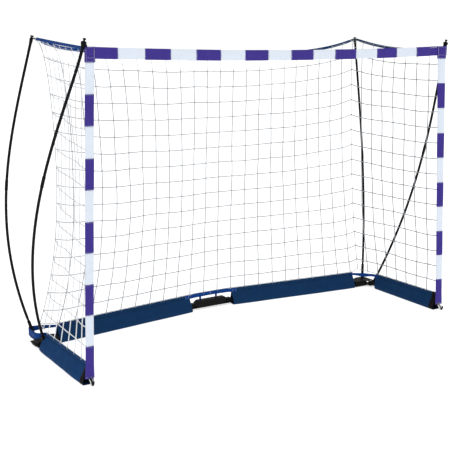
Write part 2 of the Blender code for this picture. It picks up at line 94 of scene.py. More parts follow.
def at(x, y, z):
    """A point given from the mouth plane, in the part's frame."""
    return (x, y - Y_MID, z)


# ------------------------------------------------------------------ smooth, seeded unevenness
def ripple(p, size, seed, waves=7):
    """A smooth wobble of about -1 to 1 over points p, with bumps about size across."""
    rng = np.random.RandomState(seed)
    p = np.asarray(p, float).reshape(-1, 3)
    out = np.zeros(len(p))
    for _ in range(waves):
        k = rng.normal(size=3)
        k = k / np.linalg.norm(k) * (2 * math.pi / (size * rng.uniform(1.3, 3.2)))
        out += np.sin(p @ k + rng.uniform(0, 2 * math.pi)) * rng.uniform(0.6, 1.2)
    return out / math.sqrt(waves) / 1.1


# ------------------------------------------------------------------ mesh building
class Soup:
    """Faces gathered for one mesh. Each face corner has its own UV, in metres."""

    def __init__(self):
        self.v, self.f, self.uv, self.m, self.n = [], [], [], [], 0

    def add(self, verts, faces, uvs, mats=0):
        base = self.n
        self.v.append(np.asarray(verts, float).reshape(-1, 3))
        self.n += len(self.v[-1])
        self.f += [[int(i) + base for i in face] for face in faces]
        self.uv += [[(float(a), float(b)) for a, b in corner] for corner in uvs]
        self.m += list(mats) if hasattr(mats, "__len__") else [mats] * len(faces)

    def obj(self, name, *materials, sharp=None):
        co = np.concatenate(self.v)
        co[:, 1] -= Y_MID
        me = bpy.data.meshes.new(name)
        me.from_pydata(co.tolist(), [], self.f)
        layer = me.uv_layers.new(name="UVMap")
        flat = np.array([c for face in self.uv for c in face], np.float32)
        layer.data.foreach_set("uv", flat.ravel())
        me.polygons.foreach_set("material_index", np.array(self.m, np.int32))
        for m in materials:
            me.materials.append(m)
        me.shade_smooth()
        if sharp is not None:
            me.set_sharp_from_angle(angle=math.radians(sharp))
        me.validate()
        me.update()
        o = bpy.data.objects.new(name, me)
        bpy.context.scene.collection.objects.link(o)
        return o


def loft(soup, rings, caps=(False, False), mats=0, turn=False, wrap=True, u=None):
    """Quads between rings (N, K, 3). mats may give one material to each band. turn counts v in turns."""
    rings = np.asarray(rings, float)
    n, k = rings.shape[:2]
    if u is None:
        mid = rings.mean(1)
        u = np.concatenate(([0], np.cumsum(np.linalg.norm(np.diff(mid, axis=0), axis=1))))
    ends = k if wrap else k - 1
    if turn:
        v = np.arange(k + 1) / k
    else:
        loop = np.concatenate((rings[n // 2], rings[n // 2][:1]))
        v = np.concatenate(([0], np.cumsum(np.linalg.norm(np.diff(loop, axis=0), axis=1))))
    faces, uvs, ms = [], [], []
    for i in range(n - 1):
        m = mats[i] if hasattr(mats, "__len__") else mats
        for j in range(ends):
            q = (j + 1) % k
            faces.append((i * k + j, i * k + q, (i + 1) * k + q, (i + 1) * k + j))
            uvs.append(((u[i], v[j]), (u[i], v[j + 1]), (u[i + 1], v[j + 1]), (u[i + 1], v[j])))
            ms.append(m)
    for end, want in ((0, caps[0]), (n - 1, caps[1])):
        if want:
            ids = [end * k + j for j in range(k)]
            faces.append(ids[::-1] if end == 0 else ids)
            uvs.append([(u[end], v[j]) for j in (range(k)[::-1] if end == 0 else range(k))])
            ms.append(mats[0 if end == 0 else -1] if hasattr(mats, "__len__") else mats)
    soup.add(rings.reshape(-1, 3), faces, uvs, ms)


def frames(pts, ref=None):
    """Tangents and two side directions along a line, carried along without twist."""
    pts = np.asarray(pts, float)
    t = unit(np.gradient(pts, axis=0))
    a = vec(0, 0, 1) if ref is None else np.asarray(ref, float)
    if abs(a @ t[0]) > 0.95:
        a = vec(1, 0, 0)
    n = np.zeros_like(pts)
    n[0] = unit(a - (a @ t[0]) * t[0])
    for i in range(1, len(pts)):
        c = n[i - 1] - (n[i - 1] @ t[i]) * t[i]
        n[i] = unit(c)
    return t, n, np.cross(t, n)


def tube(soup, pts, r, sides=8, caps=(True, True), mat=0, ref=None, flat=1.0):
    pts = np.asarray(pts, float)
    t, n, b = frames(pts, ref)
    r = np.broadcast_to(np.asarray(r, float), (len(pts),))
    a = np.arange(sides) * 2 * math.pi / sides
    rings = pts[:, None] + r[:, None, None] * (np.cos(a)[None, :, None] * n[:, None] + flat * np.sin(a)[None, :, None] * b[:, None])
    loft(soup, rings, caps, mat, turn=True)


def ring_tube(soup, pts, r, sides=6, mat=0):
    """A closed loop of cord."""
    pts = np.asarray(pts, float)
    prev, nxt = np.roll(pts, 1, 0), np.roll(pts, -1, 0)
    t = unit(nxt - prev)
    flat = unit(np.cross(pts[1] - pts[0], pts[len(pts) // 2] - pts[0]))
    n = unit(np.cross(t, np.broadcast_to(flat, t.shape)))
    b = np.cross(t, n)
    a = np.arange(sides) * 2 * math.pi / sides
    rings = pts[:, None] + r * (np.cos(a)[None, :, None] * n[:, None] + np.sin(a)[None, :, None] * b[:, None])
    k, m = sides, len(pts)
    step = np.linalg.norm(nxt - pts, axis=1)
    u = np.concatenate(([0], np.cumsum(step)))
    faces, uvs = [], []
    for i in range(m):
        ii = (i + 1) % m
        for j in range(k):
            q = (j + 1) % k
            faces.append((i * k + j, i * k + q, ii * k + q, ii * k + j))
            uvs.append(((u[i], j / k), (u[i], (j + 1) / k), (u[i + 1], (j + 1) / k), (u[i + 1], j / k)))
    soup.add(rings.reshape(-1, 3), faces, uvs, mat)


def ribbon(soup, pts, across, width, thick, mat=0, caps=(True, True), crown=0.0, cut=0.35):
    """A strap: pts is its middle line and across the direction of its width, at each point or the same for all."""
    pts = np.asarray(pts, float)
    t = unit(np.gradient(pts, axis=0))
    w = np.broadcast_to(np.asarray(across, float), pts.shape)
    w = unit(w - (w * t).sum(1, keepdims=True) * t)
    h = np.cross(t, w)
    width = np.broadcast_to(np.asarray(width, float), (len(pts),))
    c = thick * cut
    half, ht = width / 2, thick / 2
    prof = [(-1, 0, 0, -ht + c), (-1, c, 0, -ht), (-0.5, 0, 0, -ht - crown * 0.7), (0.5, 0, 0, -ht - crown * 0.7), (1, -c, 0, -ht), (1, 0, 0, -ht + c),
            (1, 0, 0, ht - c), (1, -c, 0, ht), (0.5, 0, 0, ht + crown), (-0.5, 0, 0, ht + crown), (-1, c, 0, ht), (-1, 0, 0, ht - c)]
    rings = []
    for i in range(len(pts)):
        rings.append([pts[i] + w[i] * (a * half[i] + da) + h[i] * e for a, da, _, e in prof])
    loft(soup, np.array(rings), caps, mat)


def bead(soup, place, size, axis=(0, 0, 1), n=8, m=5, mat=0):
    """A small rounded lump, size = (across, across, along)."""
    axis = unit(np.asarray(axis, float))
    a = unit(np.cross(axis, vec(0.3, 0.5, 0.81)))
    b = np.cross(axis, a)
    verts, faces, uvs = [], [], []
    verts.append(place - axis * size[2])
    for i in range(1, m):
        th = math.pi * i / m
        for j in range(n):
            ph = 2 * math.pi * j / n
            verts.append(place - axis * size[2] * math.cos(th) + a * size[0] * math.sin(th) * math.cos(ph) + b * size[1] * math.sin(th) * math.sin(ph))
    verts.append(place + axis * size[2])
    last = len(verts) - 1
    for j in range(n):
        q = (j + 1) % n
        faces.append((0, 1 + q, 1 + j))
        uvs.append(((0, j / n), (0.002, (j + 1) / n), (0.002, j / n)))
        top = 1 + (m - 2) * n
        faces.append((last, top + j, top + q))
        uvs.append(((0.01, j / n), (0.008, j / n), (0.008, (j + 1) / n)))
        for i in range(m - 2):
            r0, r1 = 1 + i * n, 1 + (i + 1) * n
            faces.append((r0 + j, r0 + q, r1 + q, r1 + j))
            uvs.append(((0.002 * i, j / n), (0.002 * i, (j + 1) / n), (0.002 * (i + 1), (j + 1) / n), (0.002 * (i + 1), j / n)))
    soup.add(verts, faces, uvs, mat)


def lathe(soup, profile, place, way, steps=24, mat=0):
    """A turned piece. The profile is (radius, height) along way, and starts and ends on the axis."""
    way = unit(np.asarray(way, float))
    a = unit(np.cross(way, vec(0.2, 0.9, 0.1)))
    b = np.cross(way, a)
    ang = np.arange(steps) * 2 * math.pi / steps
    body = [(r, z) for r, z in profile if r > 1e-6]
    rings = np.array([[place + way * z + r * (a * math.cos(q) + b * math.sin(q)) for q in ang] for r, z in body])
    loft(soup, rings, (True, True), mat, turn=True, u=np.concatenate(([0], np.cumsum([math.hypot(p[0] - q[0], p[1] - q[1]) for p, q in zip(body[1:], body[:-1])]))))


def stitches(soup, pts, out, r=0.0006, dash=0.0045, gap=0.0025, mat=0):
    """A line of thread dashes along pts, standing a little proud along out."""
    pts = np.asarray(pts, float)
    seg = np.linalg.norm(np.diff(pts, axis=0), axis=1)
    s = np.concatenate(([0], np.cumsum(seg)))
    out = np.broadcast_to(np.asarray(out, float), pts.shape)
    n = max(1, int((s[-1] + gap) // (dash + gap)))
    pad = (s[-1] - n * (dash + gap) + gap) / 2

    def where(x):
        return np.array([np.interp(x, s, pts[:, c]) for c in range(3)]), unit(np.array([np.interp(x, s, out[:, c]) for c in range(3)]))

    for i in range(n):
        a = pad + i * (dash + gap)
        row = []
        for t, lift in ((0, -0.4), (0.2, 0.55), (0.8, 0.55), (1, -0.4)):
            p, o = where(a + dash * t)
            row.append(p + o * r * lift)
        tube(soup, row, r, 5, mat=mat, ref=where(a)[1])


# ------------------------------------------------------------------ soft edges of the goal
def strap_z(x, s):
    return 1.985 + 0.0335 * x * x + 0.067 * (abs(x) / 1.430) ** STRAP_BEND[s]


def rear_axis_y(x):
    return PIVOT_Y - max(0.0, abs(x) - PIVOT_X) * math.tan(REAR_TILT)


def rear_top(u, s):
    x = 1.422 * u
    return vec(x, 0.950 + 0.040 * u * u, strap_z(x, s))


def rear_bottom(u):
    x = 1.4506 * u
    y = rear_axis_y(x) if x < 1.345 else rear_axis_y(1.345) + (0.930 - rear_axis_y(1.345)) * (x - 1.345) / (1.4506 - 1.345)
    return vec(x, y, SLEEVE_TOP + 0.0045)


def corner_edge(v, s):
    a, b = vec(1.4506, 0.930, SLEEVE_TOP + 0.0045), vec(1.422, 0.990, strap_z(1.422, s))
    pull = (4 * v * (1 - v)) ** (0.95 - 0.50 * v) if 0 < v < 1 else 0.0
    return a + (b - a) * v + vec(-0.116 * pull, -0.078 * pull, 0)


def middle_edge(v, s):
    return rear_bottom(0) * (1 - v) + rear_top(0, s) * v


def side_bottom(u):
    y = 0.930 - (0.930 - 0.016) * u
    x = 1.4506 + (SIDE_X - 1.4506) * min(1.0, u / 0.22)
    return vec(x, y, SLEEVE_TOP + 0.0045)


def side_top(u, s):
    a, b = vec(1.434, 0.978, 2.117), vec(1.467, 0.006, 2.046)
    p = a + (b - a) * u
    p[2] -= SIDE_SAG[s] * 4 * u * (1 - u)
    return p


def post_edge(v, s):
    a, b = side_bottom(1), side_top(1, s)
    p = a + (b - a) * v
    p[1] = 0.016
    p[0] -= 0.014 * 4 * v * (1 - v)
    return p


def coons(u, v, low, high, first, last):
    p = low(u) * (1 - v) + high(u) * v + first(v) * (1 - u) + last(v) * u
    return p - (low(0) * (1 - u) * (1 - v) + low(1) * u * (1 - v) + high(0) * (1 - u) * v + high(1) * u * v)


def rear_panel(u, v, s):
    return coons(u, v, rear_bottom, lambda k: rear_top(k, s), lambda k: middle_edge(k, s), lambda k: corner_edge(k, s))


def side_panel(u, v, s):
    return coons(u, v, side_bottom, lambda k: side_top(k, s), lambda k: corner_edge(k, s), lambda k: post_edge(k, s))


def bar_top(x):
    return H_TOP - BAR_SAG * (1 - (abs(x) / HALF_W) ** 2)


def roof_panel(u, v, s):
    back = rear_top(u * 0.985, s)
    back[1] -= 0.002
    back[2] += 0.009
    front = vec(1.458 * u, 0.004, bar_top(1.458 * u) - 0.006)
    p = back + (front - back) * v
    p[2] -= 4 * v * (1 - v) * (0.042 * (1 - u**6) + (SIDE_SAG[s] + 0.012) * u * u)
    if s < 0:                                           # slacker towards the left end
        p[2] -= 4 * v * (1 - v) * 0.12 * u * u * (1 - u**8)
    return p


def bow(kind, t):
    a, b, c, d = (np.array(p) for p in BOW[kind])
    w = 1 - t
    return a * w**3 + b * 3 * w * w * t + c * 3 * w * t * t + d * t**3


def bow_way(kind, t):
    a, b, c, d = (np.array(p) for p in BOW[kind])
    w = 1 - t
    return unit((b - a) * w * w + (c - b) * 2 * w * t + (d - c) * t * t)


def bow_at(kind, z):
    lo, hi = 0.0, 1.0
    for _ in range(60):
        mid = (lo + hi) / 2
        lo, hi = (mid, hi) if bow(kind, mid)[2] < z else (lo, mid)
    return (lo + hi) / 2


def on(s, p):
    """(out past the post, back, up) on side s, as a point from the mouth plane."""
    return vec(s * (HALF_W + p[0]), p[1], p[2])


def flip(s, p):
    p = np.array(p, float)
    p[..., 0] *= s
    return p


# ------------------------------------------------------------------ materials
class Look:
    """One node material, built on a Principled BSDF."""

    def __init__(self, name, colour, rough, metal=0.0, spec=0.5, sheen=0.0, sheen_rough=0.4, coat=0.0, coat_rough=0.2):
        self.m = bpy.data.materials.new(name)
        self.m.use_nodes = True
        self.t = self.m.node_tree
        self.b = self.t.nodes["Principled BSDF"]
        self.m.diffuse_color = (*colour, 1)
        for key, value in (("Base Color", (*colour, 1)), ("Roughness", rough), ("Metallic", metal), ("Specular IOR Level", spec),
                           ("Sheen Weight", sheen), ("Sheen Roughness", sheen_rough), ("Coat Weight", coat), ("Coat Roughness", coat_rough)):
            self.b.inputs[key].default_value = value
        self.colour = colour
        self.last_bump = None

    def node(self, kind, **values):
        n = self.t.nodes.new(kind)
        for key, value in values.items():
            if key in n.inputs:
                n.inputs[key].default_value = value
            else:
                setattr(n, key, value)
        return n

    def link(self, a, b):
        self.t.links.new(a, b)

    def uv(self):
        return self.node("ShaderNodeUVMap", uv_map="UVMap").outputs["UV"]

    def place(self):
        return self.node("ShaderNodeTexCoord").outputs["Object"]

    def math(self, op, a, b=None):
        n = self.node("ShaderNodeMath", operation=op)
        for socket, value in zip(n.inputs, (a, b)):
            if value is None:
                continue
            if isinstance(value, (int, float)):
                socket.default_value = value
            else:
                self.link(value, socket)
        return n.outputs[0]

    def noise(self, where, scale, detail=3.0, rough=0.55, stretch=None, distort=0.0):
        if stretch is not None:
            mp = self.node("ShaderNodeMapping")
            mp.inputs["Scale"].default_value = stretch
            self.link(where, mp.inputs["Vector"])
            where = mp.outputs["Vector"]
        n = self.node("ShaderNodeTexNoise", Scale=scale, Detail=detail, Roughness=rough, Distortion=distort)
        self.link(where, n.inputs["Vector"])
        return n.outputs["Fac"]

    def remap(self, x, lo, hi, out_lo=0.0, out_hi=1.0):
        n = self.node("ShaderNodeMapRange")
        for key, value in (("From Min", lo), ("From Max", hi), ("To Min", out_lo), ("To Max", out_hi)):
            n.inputs[key].default_value = value
        self.link(x, n.inputs["Value"])
        return n.outputs["Result"]

    def tint(self, fac, dark, light):
        """Colour from dark to light with fac."""
        n = self.node("ShaderNodeMix", data_type="RGBA")
        n.inputs[6].default_value = (*dark, 1) if isinstance(dark, tuple) else (0, 0, 0, 1)
        n.inputs[7].default_value = (*light, 1) if isinstance(light, tuple) else (0, 0, 0, 1)
        if not isinstance(dark, tuple):
            self.link(dark, n.inputs[6])
        if not isinstance(light, tuple):
            self.link(light, n.inputs[7])
        self.link(fac, n.inputs[0])
        return n.outputs[2]

    def base(self, colour):
        self.link(colour, self.b.inputs["Base Color"])

    def rough(self, value):
        self.link(value, self.b.inputs["Roughness"])

    def bump(self, height, strength, distance):
        n = self.node("ShaderNodeBump", Strength=strength, Distance=distance)
        self.link(height, n.inputs["Height"])
        if self.last_bump is not None:
            self.link(self.last_bump, n.inputs["Normal"])
        self.last_bump = n.outputs["Normal"]
        self.link(self.last_bump, self.b.inputs["Normal"])

    def split(self, where):
        n = self.node("ShaderNodeSeparateXYZ")
        self.link(where, n.inputs[0])
        return n.outputs[0], n.outputs[1]

    def wave(self, x, pitch):
        """A sine of 0 to 1 along x, one every pitch metres."""
        s = self.math("SINE", self.math("MULTIPLY", x, 2 * math.pi / pitch))
        return self.remap(s, -1, 1)

    def weave(self, pitch):
        """Plain weave over the UV map: threads over and under each other."""
        u, v = self.split(self.uv())
        a = self.math("SINE", self.math("MULTIPLY", u, math.pi / pitch))
        b = self.math("SINE", self.math("MULTIPLY", v, math.pi / pitch))
        over = self.math("MULTIPLY", a, b)
        return self.remap(over, -1, 1)


def shade(c, k):
    return tuple(min(1.0, x * k) for x in c)


def fabric(name, colour, rough=0.8, pitch=0.0011, weave=0.25, sheen=0.2, fade=0.10, dirt=(0.30, 0.27, 0.22), dirty=0.05, crease=0.35, spec=0.13):
    """Coated polyester: a fine weave, soft creases, a little fading and faint dust."""
    k = Look(name, colour, rough, spec=spec, sheen=sheen)
    uv = k.uv()
    w = k.weave(pitch)
    cloud = k.noise(uv, 9.0, 4.0, 0.6)
    fine = k.noise(uv, 140.0, 2.0, 0.6, stretch=(1.0, 3.0, 1.0))
    mixed = k.math("ADD", k.math("MULTIPLY", k.remap(cloud, 0.32, 0.68), 0.65), k.math("MULTIPLY", w, 0.35))
    body = k.tint(mixed, shade(colour, 1 - fade), shade(colour, 1 + fade * 0.8))
    if dirty:
        spots = k.remap(k.noise(uv, 23.0, 5.0, 0.65), 0.52, 0.80, 0.0, dirty)
        body = k.tint(spots, body, dirt)
    k.base(body)
    k.rough(k.remap(fine, 0.3, 0.7, rough - 0.07, min(1.0, rough + 0.06)))
    k.bump(k.noise(uv, 16.0, 3.0, 0.5, stretch=(0.6, 1.6, 1.0)), crease, 0.004)
    k.bump(k.noise(uv, 60.0, 2.0, 0.5), 0.25, 0.0012)
    k.bump(w, weave, 0.00035)
    return k.m


def webbing(name, colour, rough=0.66, rib=0.0019, sheen=0.02, spec=0.12):
    """Woven tape: ribs across it and a slight fuzz."""
    k = Look(name, colour, rough, spec=spec, sheen=sheen)
    u, v = k.split(k.uv())
    ribs = k.wave(u, rib)
    cross = k.wave(v, rib * 1.7)
    both = k.math("MULTIPLY", ribs, k.math("ADD", k.math("MULTIPLY", cross, 0.5), 0.5))
    cloud = k.noise(k.uv(), 30.0, 3.0)
    k.base(k.tint(k.math("ADD", k.math("MULTIPLY", both, 0.6), k.math("MULTIPLY", cloud, 0.4)), shade(colour, 0.72), shade(colour, 1.22)))
    k.rough(k.remap(cloud, 0.3, 0.7, rough - 0.06, rough + 0.08))
    k.bump(both, 0.55, 0.0005)
    k.bump(k.noise(k.uv(), 900.0, 2.0), 0.15, 0.0002)
    return k.m


def cordage(name, colour, rough=0.7, lay=0.0075, strands=3):
    """Braided cord: strands that wind round it, with a soft fuzz."""
    k = Look(name, colour, rough, spec=0.15, sheen=0.02)
    u, v = k.split(k.uv())
    a = k.math("SINE", k.math("MULTIPLY", k.math("ADD", k.math("MULTIPLY", u, 1 / lay), k.math("MULTIPLY", v, float(strands))), 2 * math.pi))
    b = k.math("SINE", k.math("MULTIPLY", k.math("SUBTRACT", k.math("MULTIPLY", u, 1 / lay), k.math("MULTIPLY", v, float(strands))), 2 * math.pi))
    braid = k.remap(k.math("MAXIMUM", a, b), -1, 1)
    cloud = k.noise(k.place(), 3.5, 3.0)
    fac = k.math("ADD", k.math("MULTIPLY", braid, 0.55), k.math("MULTIPLY", k.remap(cloud, 0.3, 0.7), 0.45))
    k.base(k.tint(fac, shade(colour, 0.72), shade(colour, 1.15)))
    k.bump(braid, 0.6, 0.0006)
    return k.m


def painted_steel(name, colour, rough, worn=(0.28, 0.28, 0.29)):
    """Powder-coated steel: fine orange peel, scuffs, and bare metal just showing along the edges."""
    k = Look(name, colour, rough, spec=0.08)
    p = k.place()
    bev = k.node("ShaderNodeBevel", samples=6, Radius=0.0016)
    geo = k.node("ShaderNodeNewGeometry")
    dot = k.node("ShaderNodeVectorMath", operation="DOT_PRODUCT")
    k.link(bev.outputs["Normal"], dot.inputs[0])
    k.link(geo.outputs["Normal"], dot.inputs[1])
    edge = k.remap(dot.outputs["Value"], 0.995, 0.80, 0.0, 1.0)
    chips = k.remap(k.noise(p, 140.0, 4.0, 0.7), 0.50, 0.66, 0.0, 1.0)
    wear = k.math("MULTIPLY", edge, chips)
    scuff = k.remap(k.noise(p, 28.0, 5.0, 0.7, stretch=(1.0, 1.0, 3.0)), 0.50, 0.75, 0.0, 0.35)
    body = k.tint(scuff, colour, shade(colour, 2.2))
    k.base(k.tint(wear, body, worn))
    k.link(k.math("MULTIPLY", wear, 0.8), k.b.inputs["Metallic"])
    k.rough(k.remap(k.noise(p, 60.0, 3.0), 0.3, 0.7, rough - 0.08, rough + 0.12))
    k.bump(k.noise(p, 700.0, 2.0), 0.18, 0.0003)
    return k.m


def plated(name, colour, rough):
    """Zinc-plated hardware with a faint mottle and turning marks."""
    k = Look(name, colour, rough, metal=1.0)
    p = k.place()
    k.base(k.tint(k.remap(k.noise(p, 180.0, 4.0, 0.65), 0.35, 0.65), shade(colour, 0.72), shade(colour, 1.12)))
    k.rough(k.remap(k.noise(p, 90.0, 3.0), 0.3, 0.7, rough - 0.08, rough + 0.15))
    k.bump(k.noise(p, 1200.0, 1.0, stretch=(1, 1, 6)), 0.12, 0.0002)
    return k.m


def fibre(name, colour, rough):
    """Pultruded rod: fine streaks along it under a thin gloss."""
    k = Look(name, colour, rough, spec=0.07)
    u, v = k.split(k.uv())
    cmb = k.node("ShaderNodeCombineXYZ")
    k.link(k.math("MULTIPLY", u, 6.0), cmb.inputs[0])
    k.link(k.math("MULTIPLY", v, 40.0), cmb.inputs[1])
    streak = k.noise(cmb.outputs[0], 1.6, 4.0, 0.6)
    k.base(k.tint(k.remap(streak, 0.3, 0.7), shade(colour, 0.7), shade(colour, 1.7)))
    k.rough(k.remap(streak, 0.3, 0.7, rough - 0.08, rough + 0.10))
    k.bump(streak, 0.12, 0.0003)
    return k.m


def moulded(name, colour, rough):
    """Moulded plastic with a fine spark grain."""
    k = Look(name, colour, rough, spec=0.09)
    p = k.place()
    k.base(k.tint(k.remap(k.noise(p, 45.0, 3.0), 0.3, 0.7), shade(colour, 0.8), shade(colour, 1.35)))
    k.rough(k.remap(k.noise(p, 320.0, 2.0), 0.3, 0.7, rough - 0.06, rough + 0.10))
    k.bump(k.noise(p, 1500.0, 2.0), 0.25, 0.0002)
    return k.m


PURPLE = fabric("mouth_purple", (0.047, 0.030, 0.238), rough=0.72, sheen=0.02, fade=0.10)
WHITE = fabric("mouth_white", (0.700, 0.762, 0.848), rough=0.75, sheen=0.02, fade=0.035, dirty=0.035)
NAVY = fabric("sleeve_navy", (0.0035, 0.030, 0.094), rough=0.72, sheen=0.01, fade=0.14, dirt=(0.08, 0.11, 0.15), dirty=0.05, pitch=0.0013, spec=0.08)
# a lighter copy of the sleeve navy for the left side sleeve, which faces the key light: painted light
NAVY_PAINTED_LIT = fabric("sleeve_navy_painted_lit", (0.0036, 0.041, 0.138), rough=0.72, sheen=0.01, fade=0.12, dirt=(0.08, 0.12, 0.18), dirty=0.05, pitch=0.0013, spec=0.08)
BLUE = webbing("blue_webbing", (0.0016, 0.042, 0.215), spec=0.08)
# a darker copy of the blue webbing for the top straps on the right: painted shade
BLUE_PAINTED_SHADE = webbing("blue_webbing_painted_shade", (0.0016, 0.031, 0.112), spec=0.08)
PALE = webbing("white_webbing_look", (0.80, 0.83, 0.86))
BLACKWEB = webbing("black_webbing", (0.0050, 0.0050, 0.0058), spec=0.07)
CORD = cordage("net_cord_look", (0.425, 0.437, 0.458))
# darker and lighter copies of the net cord: painted shade on the right side net, painted light on the left side net and
# the roof nets
SHADED = cordage("net_cord_shaded", (0.290, 0.300, 0.320))
CORD_PAINTED_LIT = cordage("net_cord_painted_lit", (0.780, 0.792, 0.810))
ROPE = cordage("edge_rope", (0.30, 0.312, 0.335), lay=0.011)
BLACKCORD = cordage("black_cord", (0.006, 0.006, 0.007), lay=0.006)
THREAD = cordage("thread", (0.62, 0.64, 0.68), lay=0.003)
DARKTHREAD = cordage("dark_thread", (0.008, 0.030, 0.085), lay=0.003)
STEEL = painted_steel("black_steel_look", (0.0042, 0.0042, 0.0048), 0.44, worn=(0.20, 0.20, 0.21))
ZINC = plated("zinc", (0.55, 0.56, 0.58), 0.33)
FIBRE = fibre("pole_fibre_look", (0.0045, 0.0045, 0.0052), 0.42)
PLASTIC = moulded("black_plastic_look", (0.0055, 0.0055, 0.0062), 0.50)

# ------------------------------------------------------------------ CAD pieces that stay
for name, node in NODES.items():
    if "bolt" in name:
        look, slot = ZINC, "bolt"
    elif "foot" in name or "tube_cap" in name:
        look, slot = PLASTIC, "black_plastic"
    else:
        look, slot = STEEL, "black_steel"
    if not node.data.materials:
        node.data.materials.append(look)
    for ms in node.material_slots:
        ms.link = "OBJECT"
        ms.material = look


def ride(o, body, slot=None, *gone):
    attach(o, body)
    if gone:
        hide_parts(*gone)
    return o


def bend(o, a, b, start, end, slot=None, *gone):
    at(*start)
    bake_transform(o)
    if gone:
        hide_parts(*gone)
    return o


def shell(o, thick, offset=0.0):
    """Gives an open fabric tube its thickness, as real geometry."""
    mod = o.modifiers.new("thickness", "SOLIDIFY")
    mod.thickness = thick
    mod.offset = offset
    mod.use_even_offset = False
    dg = bpy.context.evaluated_depsgraph_get()
    me = bpy.data.meshes.new_from_object(o.evaluated_get(dg), preserve_all_data_layers=True, depsgraph=dg)
    o.modifiers.clear()
    old = o.data
    o.data = me
    bpy.data.meshes.remove(old)
    me.name = o.name
    return o


# ------------------------------------------------------------------ nets
CELL_V = 0.1175 / 1.8525
ROWS = [1 - j * CELL_V for j in range(1, 16)]           # heights of the rear and side rows, as shares
R_CORD, R_ROPE = 0.0035, 0.0034


def knot(soup, p, along, across, r, rng):
    """The lump where two cords are tied: a rounded body with a strand over it each way."""
    out = unit(np.cross(along, across))
    tilt = unit(along + across * rng.uniform(0.7, 1.1))
    other = unit(along - across * rng.uniform(0.7, 1.1))
    bead(soup, p, (r * 1.40, r * 1.20, r * 1.65), tilt, 8, 5)
    for way, lift in ((tilt, 0.75), (other, 1.05)):
        side = unit(np.cross(out, way))
        line = [p + way * r * 1.7 * t + out * r * lift * (1 - t * t) * 1.05 + side * r * 0.15 for t in (-1, -0.5, 0, 0.5, 1)]
        tube(soup, line, [r * 0.45, r * 0.65, r * 0.70, r * 0.65, r * 0.45], 5)


def netting(panel, s, us, vs, seed, amp, u_from=0.0, u_to=1.0, v_from=0.0, v_to=1.0, sub=4, r=R_CORD, cols=None, laced=True):
    """Cords of a net laid on panel(u, v): columns at us, rows at vs, with a knot where they cross."""
    soup = Soup()
    rng = np.random.RandomState(seed)
    us, vs = list(us), sorted(vs)
    knots = {}

    def fade(x, lo, hi, span=0.12):
        return max(0.0, min(1.0, (x - lo) / span, (hi - x) / span))

    def spot(u, v):
        p = flip(s, panel(u, v, s))
        hold = fade(u, u_from, u_to) * 0.85 + 0.15 * (fade(u, u_from, u_to, 0.02) if u_from == 0 else 1.0)
        hold *= fade(v, v_from, v_to)
        q = p.reshape(1, 3)
        d = vec(ripple(q, 0.20, seed + 1)[0] * 0.8, ripple(q, 0.45, seed + 2)[0] * 1.4, ripple(q, 0.20, seed + 3)[0] * 0.9)
        return p + d * amp * hold

    def line(fixed, steps, vertical):
        """Points along one cord, bending a little at each knot."""
        pts = []
        for a, b in zip(steps[:-1], steps[1:]):
            for k in range(sub):
                t = k / sub
                x = a + (b - a) * t
                p = spot(fixed, x) if vertical else spot(x, fixed)
                slack = 4 * t * (1 - t)
                g = math.sin(fixed * 91.0 + a * 57.0 + seed)
                p = p + (vec(0.0011 * g, 0.0009 * g, 0) if vertical else vec(0, 0.0008 * g, -0.0012 - 0.0010 * g)) * slack
                pts.append(p)
        pts.append(spot(fixed, steps[-1]) if vertical else spot(steps[-1], fixed))
        return np.array(pts)

    def lacing(run):
        """Radius along an upright cord: the stretch above the last row is lighter lacing to the strap."""
        heights = np.linspace(0, 1, len(run))
        return r * (1 - (0.50 if laced else 0.0) * np.clip((heights - vs[-1] / v_to) / 0.012, 0, 1))

    for u in (us if cols is None else cols):
        run = line(u, [v_from] + vs + [v_to], True)
        tube(soup, run, lacing(run), 7)
    for v in vs:
        steps = [u_from] + [u for u in us if u_from < u < u_to] + [u_to]
        tube(soup, line(v, steps, False), r, 7)
    for u in (us if cols is None else cols):
        for v in vs:
            p = spot(u, v)
            along = unit(spot(u, min(v + 0.02, 1)) - spot(u, max(v - 0.02, 0)))
            across = unit(spot(min(u + 0.02, 1), v) - spot(max(u - 0.02, 0), v))
            knot(soup, p, along, across, r, rng)
    return soup, spot


def rope(soup, spot, steps, fixed, vertical, r=R_ROPE):
    pts = np.array([spot(fixed, x) if vertical else spot(x, fixed) for x in steps])
    tube(soup, pts, r, 9)
    return pts


def ring_round(soup, p, along, high, low, half, r):
    """A small loop of cord round a strap or rope that runs along: high above p, low below it, half to each side."""
    along = unit(along)
    side = unit(np.cross(along, vec(0, 0, 1)))
    pts = []
    for k in range(14):
        a = 2 * math.pi * k / 14
        z = math.cos(a)
        pts.append(p + vec(0, 0, 1) * (high * z if z > 0 else low * z) + side * half * math.sin(a) + along * 0.0015 * math.sin(a))
    ring_tube(soup, pts, r, 6)


